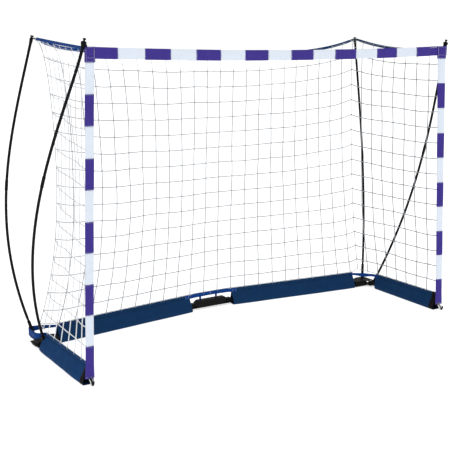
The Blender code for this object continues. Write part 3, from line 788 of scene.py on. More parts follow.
COLS = [(k + 0.5) / 11.5 for k in range(12)]
for s, side in SIDES:
    rear, flank = f"rear_{side}", f"side_{side}"
    # rear half
    soup, spot = netting(rear_panel, s, COLS[:-1], ROWS, 11 if s < 0 else 12, 0.0045, 0.0, 1.0, 0.0, 0.9990)
    fine = np.linspace(0, 1, 47)
    rope(soup, spot, np.linspace(0, 1, 80), 1.0, True, 0.0026)
    rope(soup, spot, fine, 0.0, False, 0.0022)
    rope(soup, spot, fine, 0.9990, False, 0.0016)
    for v in ROWS:                                      # rows are tied to the corner rope
        p = spot(1.0, v)
        bead(soup, p, (0.0048, 0.0048, 0.0056), (0.1, 0.1, 1), 8, 5)
    for u in COLS[:-1]:
        p, q = spot(u, 0.0), spot(u + 0.01, 0.0)
        ring_round(soup, p + vec(0, 0, -0.002), q - p, 0.0055, 0.0120, 0.0062, 0.0011)
    o = soup.obj(f"rear_netting_{side}", CORD)
    bend(o, "centre", rear, (s * 0.03, PIVOT_Y, 0), (s * 0.33, PIVOT_Y, 0), "net_cord", f"rear_net_{side}")

    # side panel
    soup, spot = netting(side_panel, s, [k / 8 for k in range(1, 8)], ROWS, 21 if s < 0 else 22, 0.0095 if s < 0 else 0.006, 0.0, 1.0, 0.0, 0.9990)
    rope(soup, spot, np.linspace(0.012, 1, 33), 0.0, False, 0.0022)
    rope(soup, spot, np.linspace(0.012, 1, 33), 0.9990, False, 0.0016)
    rope(soup, spot, np.linspace(0, 1, 80), 1.0, True, 0.0026)
    for k in range(1, 8):
        p, q = spot(k / 8, 0.0), spot(k / 8 + 0.01, 0.0)
        ring_round(soup, p + vec(0, 0, -0.002), q - p, 0.0055, 0.0120, 0.0062, 0.0011)
    for v in [0.5 * (a + b) for a, b in zip(ROWS[:-1], ROWS[1:])] + ROWS:
        # ties through the hem down the back of the post
        p = spot(1.0, v)
        loop = [p + vec(0.0035 * math.cos(a) * s, -0.0048 + 0.0078 * math.sin(a), 0.002 * math.cos(2 * a)) for a in np.linspace(0, 2 * math.pi, 12, endpoint=False)]
        ring_tube(soup, loop, 0.0012, 6)
    # the left side net takes the lighter cord copy (painted light), the right one the darker copy (painted shade)
    o = soup.obj(f"side_netting_{side}", CORD_PAINTED_LIT if s < 0 else SHADED)
    bend(o, rear, flank, (s * SIDE_X, 0.900, 0), (s * SIDE_X, 0.690, 0), "net_cord", f"side_net_{side}")

    # roof
    soup, spot = netting(roof_panel, s, COLS[:-1], [k / 6 for k in range(1, 6)], 31 if s < 0 else 32, 0.004, 0.0, 0.975, 0.008, 0.990, r=0.0008, laced=False)
    rope(soup, spot, np.linspace(0, 0.975, 45), 0.990, False, 0.0010)
    rope(soup, spot, np.linspace(0.008, 0.990, 33), 0.975, True, 0.0008)
    # the roof net takes the lighter cord copy: painted light
    o = soup.obj(f"roof_netting_{side}", CORD_PAINTED_LIT)
    ride(o, rear, "net_cord", f"roof_net_{side}")
    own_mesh(o)

# ------------------------------------------------------------------ straps along the top
def side_strap_line(u, s):
    """The strap lies on the net's edge, and the slack one on the right hangs a little lower."""
    p = side_top(u, s) + vec(-0.0050 * s, 0, 0.003)
    p[2] -= (0.012 if s > 0 else 0.0) * 4 * u * (1 - u)
    return p


for s, side in SIDES:
    rear, flank = f"rear_{side}", f"side_{side}"
    rpole, fpole = f"rear_pole_{side}_body", f"front_pole_{side}_body"
    tip_r, way_r = on(s, bow("rear", 1.0)), flip(s, bow_way("rear", 1.0))
    eye_r = tip_r - way_r * 0.0145                      # neck of the cap
    cord, cord2 = (0.070, 0.118) if s < 0 else (0.022, 0.022)     # the black cords are longer on the left

    # the top straps on the right take the darker copy of the blue webbing: painted shade
    strap_look = BLUE if s < 0 else BLUE_PAINTED_SHADE
    # rear strap: straight flat webbing, with a soft roll here and there
    to_u = 0.945 if s < 0 else 0.955
    us = np.linspace(0, to_u, 60)
    pts = np.array([flip(s, rear_top(u, s)) + vec(0, -0.0050, 0.003) for u in us])
    across = np.array([unit(vec(0, 0.10 * math.sin(9 * u + 1) * u, 1)) for u in us])
    soup = Soup()
    ribbon(soup, pts, across, 0.0220, 0.0020, crown=0.0002)
    o = soup.obj(f"rear_strap_{side}", strap_look, sharp=50)
    bend(o, "centre", rear, (s * 0.03, PIVOT_Y, 0), (s * 0.33, PIVOT_Y, 0), "webbing", f"rear_top_strap_{side}")

    # its end: folded back and sewn round a loop of black cord that hooks under the cap
    end = flip(s, rear_top(to_u, s)) + vec(0, -0.0050, 0.003)
    before = flip(s, rear_top(to_u - 0.025, s)) + vec(0, -0.0050, 0.003)
    target = eye_r
    reach = np.linalg.norm(target - end)
    nose = end + (target - end) * max(0.05, 1 - cord / reach)
    soup = Soup()
    steps = np.linspace(0, 1, 12)
    mid = [before + (end - before) * (t * 3) if t < 1 / 3 else end + (nose - end) * ((t - 1 / 3) * 1.5) for t in steps]
    flatdir = np.array([unit(vec(0, 0.05, 1)) for _ in steps])
    off = np.cross(unit(nose - before), vec(0, 0, 1)) * 0.0021
    ribbon(soup, np.array(mid) + off, flatdir, 0.0198, 0.0020)
    ribbon(soup, np.array(mid) + off * 0.05, flatdir, np.interp(steps, (0, 1), (0.0202, 0.0170)), 0.0021)
    o = soup.obj(f"rear_strap_end_{side}", strap_look, sharp=50)
    bend(o, rear, rpole, before, target, "webbing")
    o_thread = Soup()
    fw = unit(nose - before)
    outn = unit(np.cross(fw, vec(0, 0, 1)))
    if outn[1] > 0:
        outn = -outn
    for a, b in (((0.012, -0.0055), (0.012, 0.0055)), ((0.032, -0.0055), (0.032, 0.0055)), ((0.012, -0.0055), (0.032, 0.0055)), ((0.012, 0.0055), (0.032, -0.0055)), ((0.012, 0.0055), (0.032, 0.0055)), ((0.012, -0.0055), (0.032, -0.0055))):
        p = before + fw * a[0] + vec(0, 0, a[1]) + outn * 0.0034
        q = before + fw * b[0] + vec(0, 0, b[1]) + outn * 0.0034
        stitches(o_thread, [p, q], outn, 0.0005, 0.0028, 0.0014)
    o = o_thread.obj(f"rear_strap_stitching_{side}", THREAD)
    bend(o, rear, rpole, before, target, "webbing")

    # side strap from the rear tip to the corner of the mouth
    from_u = 0.115 if s < 0 else 0.055
    us = np.linspace(from_u, 0.955, 44)
    pts = np.array([flip(s, side_strap_line(u, s)) for u in us])
    across = np.array([unit(vec(0.08 * math.sin(7 * u), 0, 1)) for u in us])
    soup = Soup()
    ribbon(soup, pts, across, 0.0200 if s < 0 else 0.0220, 0.0020, crown=0.0002)
    o = soup.obj(f"side_strap_{side}", strap_look, sharp=50)
    bend(o, rear, flank, (s * SIDE_X, 0.900, 0), (s * SIDE_X, 0.690, 0), "webbing", f"side_top_strap_{side}")

    a0, a1 = flip(s, side_strap_line(from_u + 0.03, s)), flip(s, side_strap_line(from_u, s))
    nose2 = a1 + (eye_r - a1) * max(0.0, 1 - cord2 / np.linalg.norm(eye_r - a1))
    soup = Soup()
    mid = [a0 + (a1 - a0) * (t * 2) if t < 0.5 else a1 + (nose2 - a1) * ((t - 0.5) * 2) for t in np.linspace(0, 1, 10)]
    off = unit(np.cross(a1 - a0, vec(0, 0, 1))) * 0.0021
    if off[0] * s < 0:
        off = -off
    ribbon(soup, np.array(mid) + off, vec(0, 0, 1), 0.0200, 0.0020)
    ribbon(soup, np.array(mid) + off * 0.08, vec(0, 0, 1), 0.0194, 0.0020)
    o = soup.obj(f"side_strap_end_{side}", strap_look, sharp=50)
    bend(o, rear, rpole, a0, eye_r, "webbing")

    # the black cord: one loop through each strap's end, both round the cap's neck
    soup = Soup()
    for tail in (nose, nose2):
        tail = tail - unit(eye_r - tail) * 0.006
        mid_way = eye_r - tail
        sidew = unit(np.cross(mid_way, way_r))
        pts = []
        for k in range(26):
            a = 2 * math.pi * k / 26
            c, q = (1 + math.cos(a)) / 2, math.sin(a)
            wide = 0.0040 + 0.0042 * c
            pts.append(tail + mid_way * c * 1.0 + sidew * wide * q + unit(mid_way) * (0.0080 * max(0.0, math.cos(a)) ** 3) + way_r * 0.001 * c)
        ring_tube(soup, pts, 0.0022, 8)
    o = soup.obj(f"tip_cord_{side}", BLACKCORD)
    bend(o, rear, rpole, nose * 0.5 + nose2 * 0.5, eye_r, "black_plastic")

    # front end of the side strap, down to the corner patch behind the mouth
    b0, b1 = flip(s, side_strap_line(0.935, s)), flip(s, side_strap_line(0.990, s))
    soup = Soup()
    mid = [b0 + (b1 - b0) * t for t in np.linspace(0, 1, 8)]
    off = unit(np.cross(b1 - b0, vec(0, 0, 1))) * 0.0021
    if off[0] * s < 0:
        off = -off
    ribbon(soup, np.array(mid) + off, vec(0, 0, 1), 0.0200, 0.0020)
    ribbon(soup, np.array(mid) + off * 0.05, vec(0, 0, 1), 0.0204, 0.0020)
    for dx in (0.25, 0.75):
        p = b0 + (b1 - b0) * dx + off * 1.5
        stitches(soup, [p - vec(0, 0, 0.006), p + vec(0, 0, 0.006)], off, 0.0006, 0.003, 0.0015, mat=1)
    o = soup.obj(f"side_strap_front_{side}", strap_look, THREAD, sharp=50)
    ride(o, flank, "webbing")

# ------------------------------------------------------------------ poles and their tips
for s, side in SIDES:
    for kind in ("front", "rear"):
        body = f"{kind}_pole_{side}_body"
        length = sum(np.linalg.norm(bow(kind, (k + 1) / 200) - bow(kind, k / 200)) for k in range(200))
        half, gap = 0.035 / length, 0.0004 / length
        mid, tip = 0.47, 1 - 0.030 / length
        t0 = bow_at(kind, MOUTH_Z[kind])
        mouth, lean = on(s, bow(kind, t0)), flip(s, bow_way(kind, t0))
        low = [mouth - lean * 0.054 + lean * 0.054 * k / 6 for k in range(6)]
        low += [on(s, bow(kind, t0 + (mid - half - gap - t0) * k / 40)) for k in range(41)]
        soup = Soup()
        tube(soup, low, np.where(np.arange(len(low)) < 7, POLE_R, ROD_R), 16)
        ride(soup.obj(f"{kind}_lower_rod_{side}", FIBRE, sharp=40), body, "pole_fibre", f"{kind}_pole_lower_{side}")
        high = [on(s, bow(kind, mid + half + gap + (tip - gap - mid - half - gap) * k / 40)) for k in range(41)]
        soup = Soup()
        tube(soup, high, ROD_R, 16)
        ride(soup.obj(f"{kind}_upper_rod_{side}", FIBRE, sharp=40), body, "pole_fibre", f"{kind}_pole_upper_{side}")
        # the ferrule is swaged: a rolled lip at each end and a pressed ring near each lip
        ts = np.linspace(-1, 1, 61)
        pts = np.array([on(s, bow(kind, mid + half * t)) for t in ts])
        r = np.full(61, 0.0114)
        r[[0, 60]] = 0.0103
        r[[1, 2, 58, 59]] = 0.0118
        r[[12, 13, 47, 48]] = 0.0108
        soup = Soup()
        tube(soup, pts, r, 20)
        ride(soup.obj(f"{kind}_ferrule_{side}", STEEL, sharp=40), body, "black_steel", f"{kind}_pole_ferrule_{side}")
        # cap: a button head on a neck, over a cup that the pole sits in
        out = flip(s, bow_way(kind, tip))
        end = on(s, bow(kind, tip)) + out * 0.0004
        prof = [(0.0096, -0.0060), (0.0103, -0.0055), (0.0106, -0.0045), (0.0106, 0.0080), (0.0102, 0.0098), (0.0070, 0.0115), (0.0060, 0.0130),
                (0.0060, 0.0175), (0.0066, 0.0190), (0.0092, 0.0203), (0.0101, 0.0220), (0.0101, 0.0242), (0.0092, 0.0268), (0.0066, 0.0288), (0.0030, 0.0297)]
        if kind == "rear":                              # a broader button than in front
            prof = [(w * 1.30 if 9 <= k <= 12 else w, h) for k, (w, h) in enumerate(prof)]
        soup = Soup()
        lathe(soup, prof, end, out, 28)
        ride(soup.obj(f"{kind}_tip_cap_{side}", PLASTIC, sharp=35), body, "black_plastic", f"{kind}_pole_cap_{side}")

    # front tip: a tapered black pocket below the cap takes the corner of the mouth
    t1 = 1 - 0.058 / 2.3
    ts = np.linspace(1 - 0.092 / 2.3, 1 - 0.0150 / 2.3, 17)
    pts = np.array([on(s, bow("front", t)) for t in ts])
    r = np.interp(np.linspace(0, 1, 17), (0, 0.06, 0.40, 0.70, 0.92, 1), (0.0102, 0.0110, 0.0142, 0.0172, 0.0174, 0.0140))
    soup = Soup()
    tube(soup, pts, r, 20)
    for k in (2, 14):
        ring = [pts[k] + (r[k] + 0.0004) * (math.cos(a) * frames(pts)[1][k] + math.sin(a) * frames(pts)[2][k]) for a in np.linspace(0, 2 * math.pi, 24, endpoint=False)]
        ring_tube(soup, ring, 0.0008, 6)
    o = soup.obj(f"tip_pocket_{side}", BLACKWEB, sharp=50)
    # the rear pole's end is bound with tape below its neck
    ts = np.linspace(1 - 0.066 / 2.3, 1 - 0.0185 / 2.3, 25)
    bound = np.array([on(s, bow("rear", t)) for t in ts])
    rr = np.interp(np.linspace(0, 1, 25), (0, 0.05, 0.6, 0.95, 1), (0.0101, 0.0107, 0.0117, 0.0126, 0.0112)) + 0.0003 * (np.arange(25) % 3 == 0)
    soup = Soup()
    tube(soup, bound, rr, 20)
    ride(soup.obj(f"rear_tip_binding_{side}", BLACKWEB, sharp=50), f"rear_pole_{side}_body", "black_plastic")
    ride(o, f"front_pole_{side}_body", "black_plastic")
    # the link between the pocket and the corner patch
    a = on(s, bow("front", 1 - 0.035 / 2.3))
    corner = vec(s * 1.458, -0.004, 2.046)
    soup = Soup()
    path = [a + (corner - a) * t + vec(0, -0.004 * math.sin(math.pi * t), 0.003 * math.sin(math.pi * t)) for t in np.linspace(0, 1, 8)]
    ribbon(soup, path, vec(0, 0.3, 1), 0.020, 0.0022)
    o = soup.obj(f"tip_link_{side}", BLACKWEB, sharp=50)
    bend(o, f"side_{side}", f"front_pole_{side}_body", corner, a, "black_plastic")

# ------------------------------------------------------------------ mouth: posts and crossbar
INNER = [(0.042, 1.4512), (0.075, 1.4532), (0.130, 1.4542), (1.000, 1.4374), (1.700, 1.4232), (1.9870, 1.4140)]
OUTER = [(0.042, 1.5136), (0.130, 1.5086), (1.000, 1.4929), (1.9870, BAR_END)]
STRIPE_X = [-1.263 + 0.1796 * k + 0.00064 * k * k for k in range(14)]      # seams of the crossbar: the band is pulled a little longer to the right


POST_LOW, STRIPE_LOW, POST_HIGH = 0.042, 0.055, 1.9885


def band(t, half, thick, edge=2.5, n=36):
    """Section of a padded fabric band: (across, through) round it."""
    a = np.arange(n) * 2 * math.pi / n
    c, q = np.cos(a), np.sin(a)
    x = half * np.sign(c) * np.abs(c) ** (2 / edge)
    y = thick * np.sign(q) * np.abs(q) ** (2 / edge)
    return x, y


def twist(s, p):
    """The right post is turned on its own line, more towards the top. The left one hangs square."""
    p = np.array(p, float)
    if s < 0:
        return p
    q = p.reshape(-1, 3)
    z = q[:, 2]
    mid = (np.interp(z, *zip(*INNER)) + np.interp(z, *zip(*OUTER))) / 2
    a = np.radians(8 + 24 * np.clip((z - POST_LOW) / 1.90, 0, 1) ** 1.4)
    dx, dy = q[:, 0] - mid, q[:, 1] + 0.002
    q[:, 0], q[:, 1] = mid + dx * np.cos(a) + dy * np.sin(a), -0.002 - dx * np.sin(a) + dy * np.cos(a)
    return q.reshape(p.shape)


def cuts(lo, hi, marks, step):
    """Places along a band: evenly spaced, with a few close together at each seam."""
    out = {lo, hi}
    edges = sorted([m for m in marks if lo < m < hi] + [lo, hi])
    for a, b in zip(edges[:-1], edges[1:]):
        n = max(2, int(round((b - a) / step)))
        out |= {a + (b - a) * k / n for k in range(n + 1)}
    for m in marks:
        for d in (-0.0065, -0.0035, -0.0016, 0.0016, 0.0035, 0.0065):
            if lo < m + d < hi:
                out.add(m + d)
    return np.array(sorted(out))


def seam_dip(z, marks, wide=0.0030):
    z = np.asarray(z, float)
    d = np.zeros_like(z)
    for m in marks:
        d = np.maximum(d, np.exp(-(((z - m) / wide) ** 2)))
    return d


def pucker(z, marks, reach=0.030):
    """1 at a seam, dying away over reach."""
    z = np.asarray(z, float)
    d = np.zeros_like(z)
    for m in marks:
        d = np.maximum(d, np.exp(-np.abs(z - m) / reach))
    return d


def turned(s, x):
    """How far back the crossbar lies near the right corner, where it follows the post's turn."""
    if s < 0 or x < 1.30:
        return 0.0
    k = min(1.0, (x - 1.30) / 0.11)
    return 0.60 * (1.445 - x) * k * k * (3 - 2 * k)


def is_white(x):
    """White and purple take turns between the seams, and both ends are purple."""
    k = sum(x > m for m in STRIPE_X)
    return 1 <= k <= 13 and k % 2 == 1


POST_MARKS = [STRIPE_LOW + STRIPE * k for k in range(1, 11)]
for s, side in SIDES:
    flank = f"side_{side}"
    zs = cuts(POST_LOW, POST_HIGH, POST_MARKS, 0.0125)
    dip, puck = seam_dip(zs, POST_MARKS), pucker(zs, POST_MARKS)
    xi, xo = np.interp(zs, *zip(*INNER)), np.interp(zs, *zip(*OUTER))
    rings, mats = [], []
    for z, a, b, d, pk in zip(zs, xi, xo, dip, puck):
        stripe = max(0, int((z - STRIPE_LOW + 1e-6) // STRIPE))
        white = stripe % 2 == 1 and stripe < 10
        half = (b - a) / 2 - 0.0008 * d - (0.0010 if white else 0.0)
        pinch = min(1.0, 0.42 + (z - POST_LOW) / 0.070, 0.22 + (POST_HIGH - z) / 0.030)
        thick = (0.0094 - 0.0011 * d) * pinch
        foot = math.exp(-((z - POST_LOW) / 0.055) ** 2)
        x, y = band(z, half, thick)
        ring = np.stack([(a + b) / 2 + x, -0.001 + y, np.full_like(x, z)], 1)
        flat = ring.copy()
        flat[:, 2] = z
        edge = np.abs(x) / max(half, 1e-6)
        wob = ripple(flat * vec(1.6, 1, 0.75) + vec(s, 0, 0), 0.075, 41) * 0.0008
        fold = np.sin(x * 330 + ripple(flat[:1], 0.3, 43)[0] * 4 + z * 9) * pk * 0.00075
        gather = np.sin(x * 240 + 1.3 * s + z * 14) * foot * 0.0016
        ring[:, 1] += (wob + fold + gather) * np.sign(y) * (1 - edge**4)
        ring[:, 0] += ripple(vec(0, 0, z).reshape(1, 3), 0.16, 44 + (s > 0))[0] * 0.0009
        ring[:, 1] += ripple(vec(0, 0, z).reshape(1, 3), 0.35, 46 + (s > 0))[0] * 0.0009
        rings.append(twist(s, flip(s, ring)))
    for lo, hi in zip(zs[:-1], zs[1:]):
        stripe = max(0, int(((lo + hi) / 2 - STRIPE_LOW) // STRIPE))
        mats.append(1 if stripe % 2 == 1 and stripe < 10 else 0)
    rings = np.array(rings)
    if s < 0:
        rings = rings[:, ::-1]
    soup = Soup()
    loft(soup, rings, (False, False), mats, u=zs)
    o = shell(soup.obj(f"post_fabric_{side}", PURPLE, WHITE), 0.0008, 0.0)
    ride(o, flank, "mouth_fabric", f"post_{side}")
    post = o

    # stitching: two rows at each seam, and two rows of hem at the foot
    soup = Soup()
    for m in POST_MARKS + [POST_LOW + 0.006, POST_LOW + 0.012]:
        for d in ((-0.0050, 0.0050) if m in POST_MARKS else (0,)):
            z = m + d
            a, b = np.interp(z, *zip(*INNER)), np.interp(z, *zip(*OUTER))
            half = (b - a) / 2 - 0.0012
            pinch = min(1.0, 0.42 + (z - POST_LOW) / 0.070, 0.22 + (POST_HIGH - z) / 0.030)
            for front in (-1, 1):
                line, outs = [], []
                for q in np.linspace(0.06 * math.pi, 0.94 * math.pi, 15):
                    c, q2 = math.cos(q), math.sin(q)
                    x = half * math.copysign(abs(c) ** 0.8, c)
                    y = 0.0097 * pinch * abs(q2) ** 0.8 + 0.0003
                    line.append(twist(s, flip(s, vec((a + b) / 2 + x, -0.001 + front * y, z))))
                    outs.append(flip(s, unit(vec(c * 0.5, front * q2, 0))))
                stitches(soup, line, np.array(outs), 0.00055, 0.0046, 0.0026)
    o = soup.obj(f"post_stitching_{side}", THREAD)
    ride(o, flank, "mouth_fabric")

    # crossbar half: a flat sewn band, its white stripes a touch narrower
    marks = sorted(s * m for m in STRIPE_X if s * m > 0)
    xs = cuts(0.0, BAR_END, marks, 0.0125)
    dip, puck = seam_dip(xs, marks), pucker(xs, marks)
    rings, mats = [], []
    for x, d, pk in zip(xs, dip, puck):
        white = is_white(s * x)
        top = bar_top(x)
        half = BAR_H / 2 - 0.0006 * d - (0.0012 if white else 0.0)
        pinch = min(1.0, 0.35 + (BAR_END - x) / 0.020)
        thick = (0.0037 - 0.0007 * d) * pinch
        c, y = band(x, half, thick, 2.3)
        ring = np.stack([np.full_like(c, x), -0.00475 + y, top - BAR_H / 2 + c], 1)
        edge = np.abs(c) / half
        wob = ripple(flip(s, ring) * vec(0.8, 1, 1.5), 0.07, 51) * 0.0009
        fold = np.sin(c * 300 + 3 * math.sin(x * 17 + s)) * pk * 0.0006
        ring[:, 1] += (wob + fold) * np.sign(y) * (1 - edge**4)
        wave = ripple(vec(x, s * (x > 0.15), 0).reshape(1, 3), 0.20, 52)[0] * 0.0010 * min(1, x / 0.1)
        ring[:, 1] += wave + turned(s, x)
        ring[:, 2] += ripple(vec(x, 0, s).reshape(1, 3), 0.24, 53)[0] * 0.0009 * min(1, x / 0.1)
        rings.append(flip(s, ring))
    for lo, hi in zip(xs[:-1], xs[1:]):
        mats.append(1 if is_white(s * (lo + hi) / 2) else 0)
    rings = np.array(rings)
    if s > 0:
        rings = rings[:, ::-1]
    soup = Soup()
    loft(soup, rings, (False, False), mats, u=xs)
    for m in marks:
        for d in (-0.0050, 0.0050):
            x = m + d
            for front in (-1, 1):
                line, outs = [], []
                for q in np.linspace(-0.93, 0.93, 13):
                    y = 0.0037 * (1 - abs(q) ** 2.3) ** (1 / 2.3)
                    line.append(flip(s, vec(x, -0.00475 + front * (y + 0.0005) + turned(s, x), bar_top(x) - BAR_H / 2 + q * BAR_H / 2)))
                    outs.append(vec(0, front, 0))
                stitches(soup, line, np.array(outs), 0.00055, 0.0046, 0.0026, mat=2)
    o = soup.obj(f"crossbar_fabric_{side}", PURPLE, WHITE, THREAD)
    ride(o, flank, "mouth_fabric", f"crossbar_{side}")
    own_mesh(o)

    # corner patch over the joint of post and crossbar, sewn with a box and a cross
    x0, x1, z0, z1 = 1.4125, 1.4775, 1.9665, 2.0590
    soup = Soup()
    for face in (-1, 1):
        grid, nx, nz = [], 13, 17
        for j in range(nz):
            row = []
            for i in range(nx):
                x, z = x0 + (x1 - x0) * i / (nx - 1), z0 + (z1 - z0) * j / (nz - 1)
                low = min(1.0, max(0.0, (1.992 - z) / 0.016))
                y = -0.00475 + face * (0.0052 + 0.0030 * low * (1 - (2 * (x - 1.446) / 0.062) ** 2 * 0.6))
                y += 0.0004 * math.sin(x * 160 + z * 90 + face)
                row.append(twist(s, flip(s, vec(x, y, z))))
            grid.append(row)
        g = np.array(grid)
        if (face < 0) == (s < 0):
            g = g[:, ::-1]
        loft(soup, g, wrap=False, u=np.linspace(0, z1 - z0, nz))
    o = shell(soup.obj(f"corner_patch_{side}", PURPLE), 0.0012, 0.0)
    ride(o, flank, "mouth_fabric")
    soup = Soup()
    pad = 0.0055
    box = [(x0 + pad, z0 + pad), (x1 - pad, z0 + pad), (x1 - pad, z1 - pad), (x0 + pad, z1 - pad), (x0 + pad, z0 + pad)]
    cross = [[(x0 + pad, 1.9925), (x1 - pad, 1.9925)], [(x0 + pad + 0.003, z0 + pad), (x0 + pad + 0.003, z1 - pad)]]
    for face in (-1, 1):
        for path in [box] + cross:
            line = []
            for (ax, az), (bx, bz) in zip(path[:-1], path[1:]):
                for t in np.linspace(0, 1, 12, endpoint=False):
                    x, z = ax + (bx - ax) * t, az + (bz - az) * t
                    low = min(1.0, max(0.0, (1.992 - z) / 0.016))
                    y = -0.00475 + face * (0.0060 + 0.0030 * low * (1 - (2 * (x - 1.446) / 0.062) ** 2 * 0.6))
                    y += 0.0004 * math.sin(x * 160 + z * 90 + face)
                    line.append(twist(s, flip(s, vec(x, y, z))))
            stitches(soup, line, vec(0, face, 0), 0.0006, 0.0040, 0.0022)
    o = soup.obj(f"corner_stitching_{side}", THREAD)
    ride(o, flank, "mouth_fabric")

# ------------------------------------------------------------------ sleeves over the base tubes
def half_width(z):
    if z < TUBE_Z:
        return 0.0183 - 0.0093 * ((TUBE_Z - z) / TUBE_Z) ** 3.2
    k = (z - TUBE_Z) / (SLEEVE_TOP - TUBE_Z)
    return 0.0183 * (1 - k) ** 1.25 + 0.0032 * k


RISE = [0.0006, 0.0022, 0.006, 0.012, 0.020, 0.028, 0.036, 0.044, 0.052, 0.060, 0.068, 0.076, 0.084, 0.091, 0.097, 0.1015,
        0.1040, 0.1065, 0.111, 0.116, 0.121, 0.125, SLEEVE_TOP - 0.0006]


def sleeve_ring(x, length, seed, full=(0.0, 0.0)):
    """Section of the sleeve at x along it: (across, up) from the middle of the base up one side, over and down the other.
    The sides hang fuller near the ground: full says how far each one stands out there, evenly or from one end to the other."""
    pts = []
    spread = [f if np.isscalar(f) else f[0] + (f[1] - f[0]) * x / length for f in full]
    body = 0.86 + 0.14 * (1 - math.exp(-max(0.0, min(x, length - x)) / 0.060))
    for z in RISE:
        w = half_width(z)
        if z > 0.099:                                   # sewn together above the tube, with a groove at the seam
            w = 0.0030 + 0.0012 * (z - 0.099) / 0.03
            w -= 0.0014 * math.exp(-(((z - 0.1040) / 0.0018) ** 2))
        pts.append((w, z))
    right = np.array(pts)
    out = []
    for sgn, line in ((1, right), (-1, right[::-1])):
        for w, z in line:
            p = vec(x, sgn * 0.05, z)
            soft = 1.0 if 0.010 < z < 0.095 else 0.3
            big = ripple(p * vec(1, 1, 1.3), 0.085, seed)[0] * 0.0011 * soft
            drag = math.sin(x * 46 + z * 35 + sgn + 2.2 * ripple(p, 0.3, seed + 1)[0]) * 0.0006 * soft
            hem = math.sin(x * 210 + sgn) * 0.0005 * (1 if 0.086 < z < 0.103 else 0)
            wave = 1 + 0.045 * ripple(vec(x, sgn * 0.4, 0), 0.16, seed + 2)[0]
            w = w + spread[0 if sgn > 0 else 1] * body * wave * max(0.0, 1 - z / 0.099) ** 1.1 * min(1.0, 0.86 + z / 0.030)
            out.append((sgn * max(0.0012, w + (big + drag + hem) * (1.0 if z > 0.004 else 0.2)), z))
    return out


def sleeve(name, start, way, length, seed, full=(0.0, 0.0), look=NAVY, flap=0.0):
    soup = Soup()
    way = unit(way)
    across = vec(-way[1], way[0], 0)
    xs = np.linspace(0, length, int(length / 0.0125) + 1)
    xs = np.unique(np.concatenate((xs, [0.002, 0.005, 0.010, 0.012, length - 0.012, length - 0.010, length - 0.005, length - 0.002])))
    rings = []
    for x in xs:
        hem = 0.0006 if (x < 0.011 or x > length - 0.011) else 0.0
        ring = []
        for w, z in sleeve_ring(x, length, seed, full):
            w = w + math.copysign(hem, w)
            back = flap * max(0.0, 1 - x / 0.14) * min(1.0, z / 0.010) * min(1.0, max(0.0, (0.103 - z) / 0.016)) if w < 0 else 0.0
            ring.append(start + way * (x - back) + across * w + vec(0, 0, z))
        rings.append(ring)
    loft(soup, np.array(rings), u=xs)
    o = shell(soup.obj(name, look), 0.0009, -1.0)
    thread = Soup()
    for sgn in (-1, 1):
        for z in (0.1015, 0.1062):
            line = [start + way * x + across * sgn * (0.0037 if z < 0.104 else 0.0036) + vec(0, 0, z) for x in np.linspace(0.004, length - 0.004, 60)]
            stitches(thread, line, across * sgn, 0.00055, 0.0052, 0.0030)
    for x in (0.012, length - 0.012):                    # hem at each end
        ring = sleeve_ring(x, length, seed, full)
        for part in (ring[3:14], ring[len(ring) - 14:len(ring) - 3])[:1 if flap and x < 0.1 else 2]:
            line = [start + way * x + across * (w + math.copysign(0.0002, w)) + vec(0, 0, z) for w, z in part]
            stitches(thread, line, across * math.copysign(1, part[0][0]), 0.0005, 0.0046, 0.0026)
    return o, thread.obj(name + "_stitching", DARKTHREAD)


for s, side in SIDES:
    rear, flank = f"rear_{side}", f"side_{side}"
    way = vec(s * math.cos(REAR_TILT), -math.sin(REAR_TILT), 0)
    o, th = sleeve(f"rear_cover_{side}", vec(s * PIVOT_X, PIVOT_Y, 0) + way * 0.0362, way, 1.1930 - 0.0362, 61 if s < 0 else 62, (0.010, 0.040) if s > 0 else (0.040, 0.010))
    ride(o, rear, "sleeve_fabric", f"rear_sleeve_{side}")
    ride(th, rear, "sleeve_fabric")
    # the left side sleeve takes the lighter navy copy: painted light on the side that faces the key light
    o, th = sleeve(f"side_cover_{side}", vec(s * SIDE_X, 0.722, 0), vec(0, -1, 0), 0.710, 63 if s < 0 else 64, (0.010, 0.040) if s < 0 else (0.008, (0.002, 0.038)), NAVY_PAINTED_LIT if s < 0 else NAVY, 0.034 if s < 0 else 0.0)
    ride(o, flank, "sleeve_fabric", f"side_sleeve_{side}")
    ride(th, flank, "sleeve_fabric")
    # black binding round its front end
    soup = Soup()
    rings = []
    for x in np.linspace(0.662, 0.7112, 9):
        ring = sleeve_ring(min(x, 0.710), 0.710, 63 if s < 0 else 64, (0.010, 0.040) if s < 0 else (0.008, (0.002, 0.038)))
        grow = 0.0016 if x < 0.664 or x > 0.709 else 0.0021
        rings.append([vec(s * SIDE_X, 0.722 - x, 0) + vec(1, 0, 0) * (w + math.copysign(grow, w)) + vec(0, 0, z + (0.0011 if z > 0.110 else 0)) for w, z in ring])
    loft(soup, np.array(rings), u=np.linspace(0, 0.05, 9))
    ride(shell(soup.obj(f"side_cover_binding_{side}", BLACKWEB), 0.0008, -1.0), flank, "black_plastic")

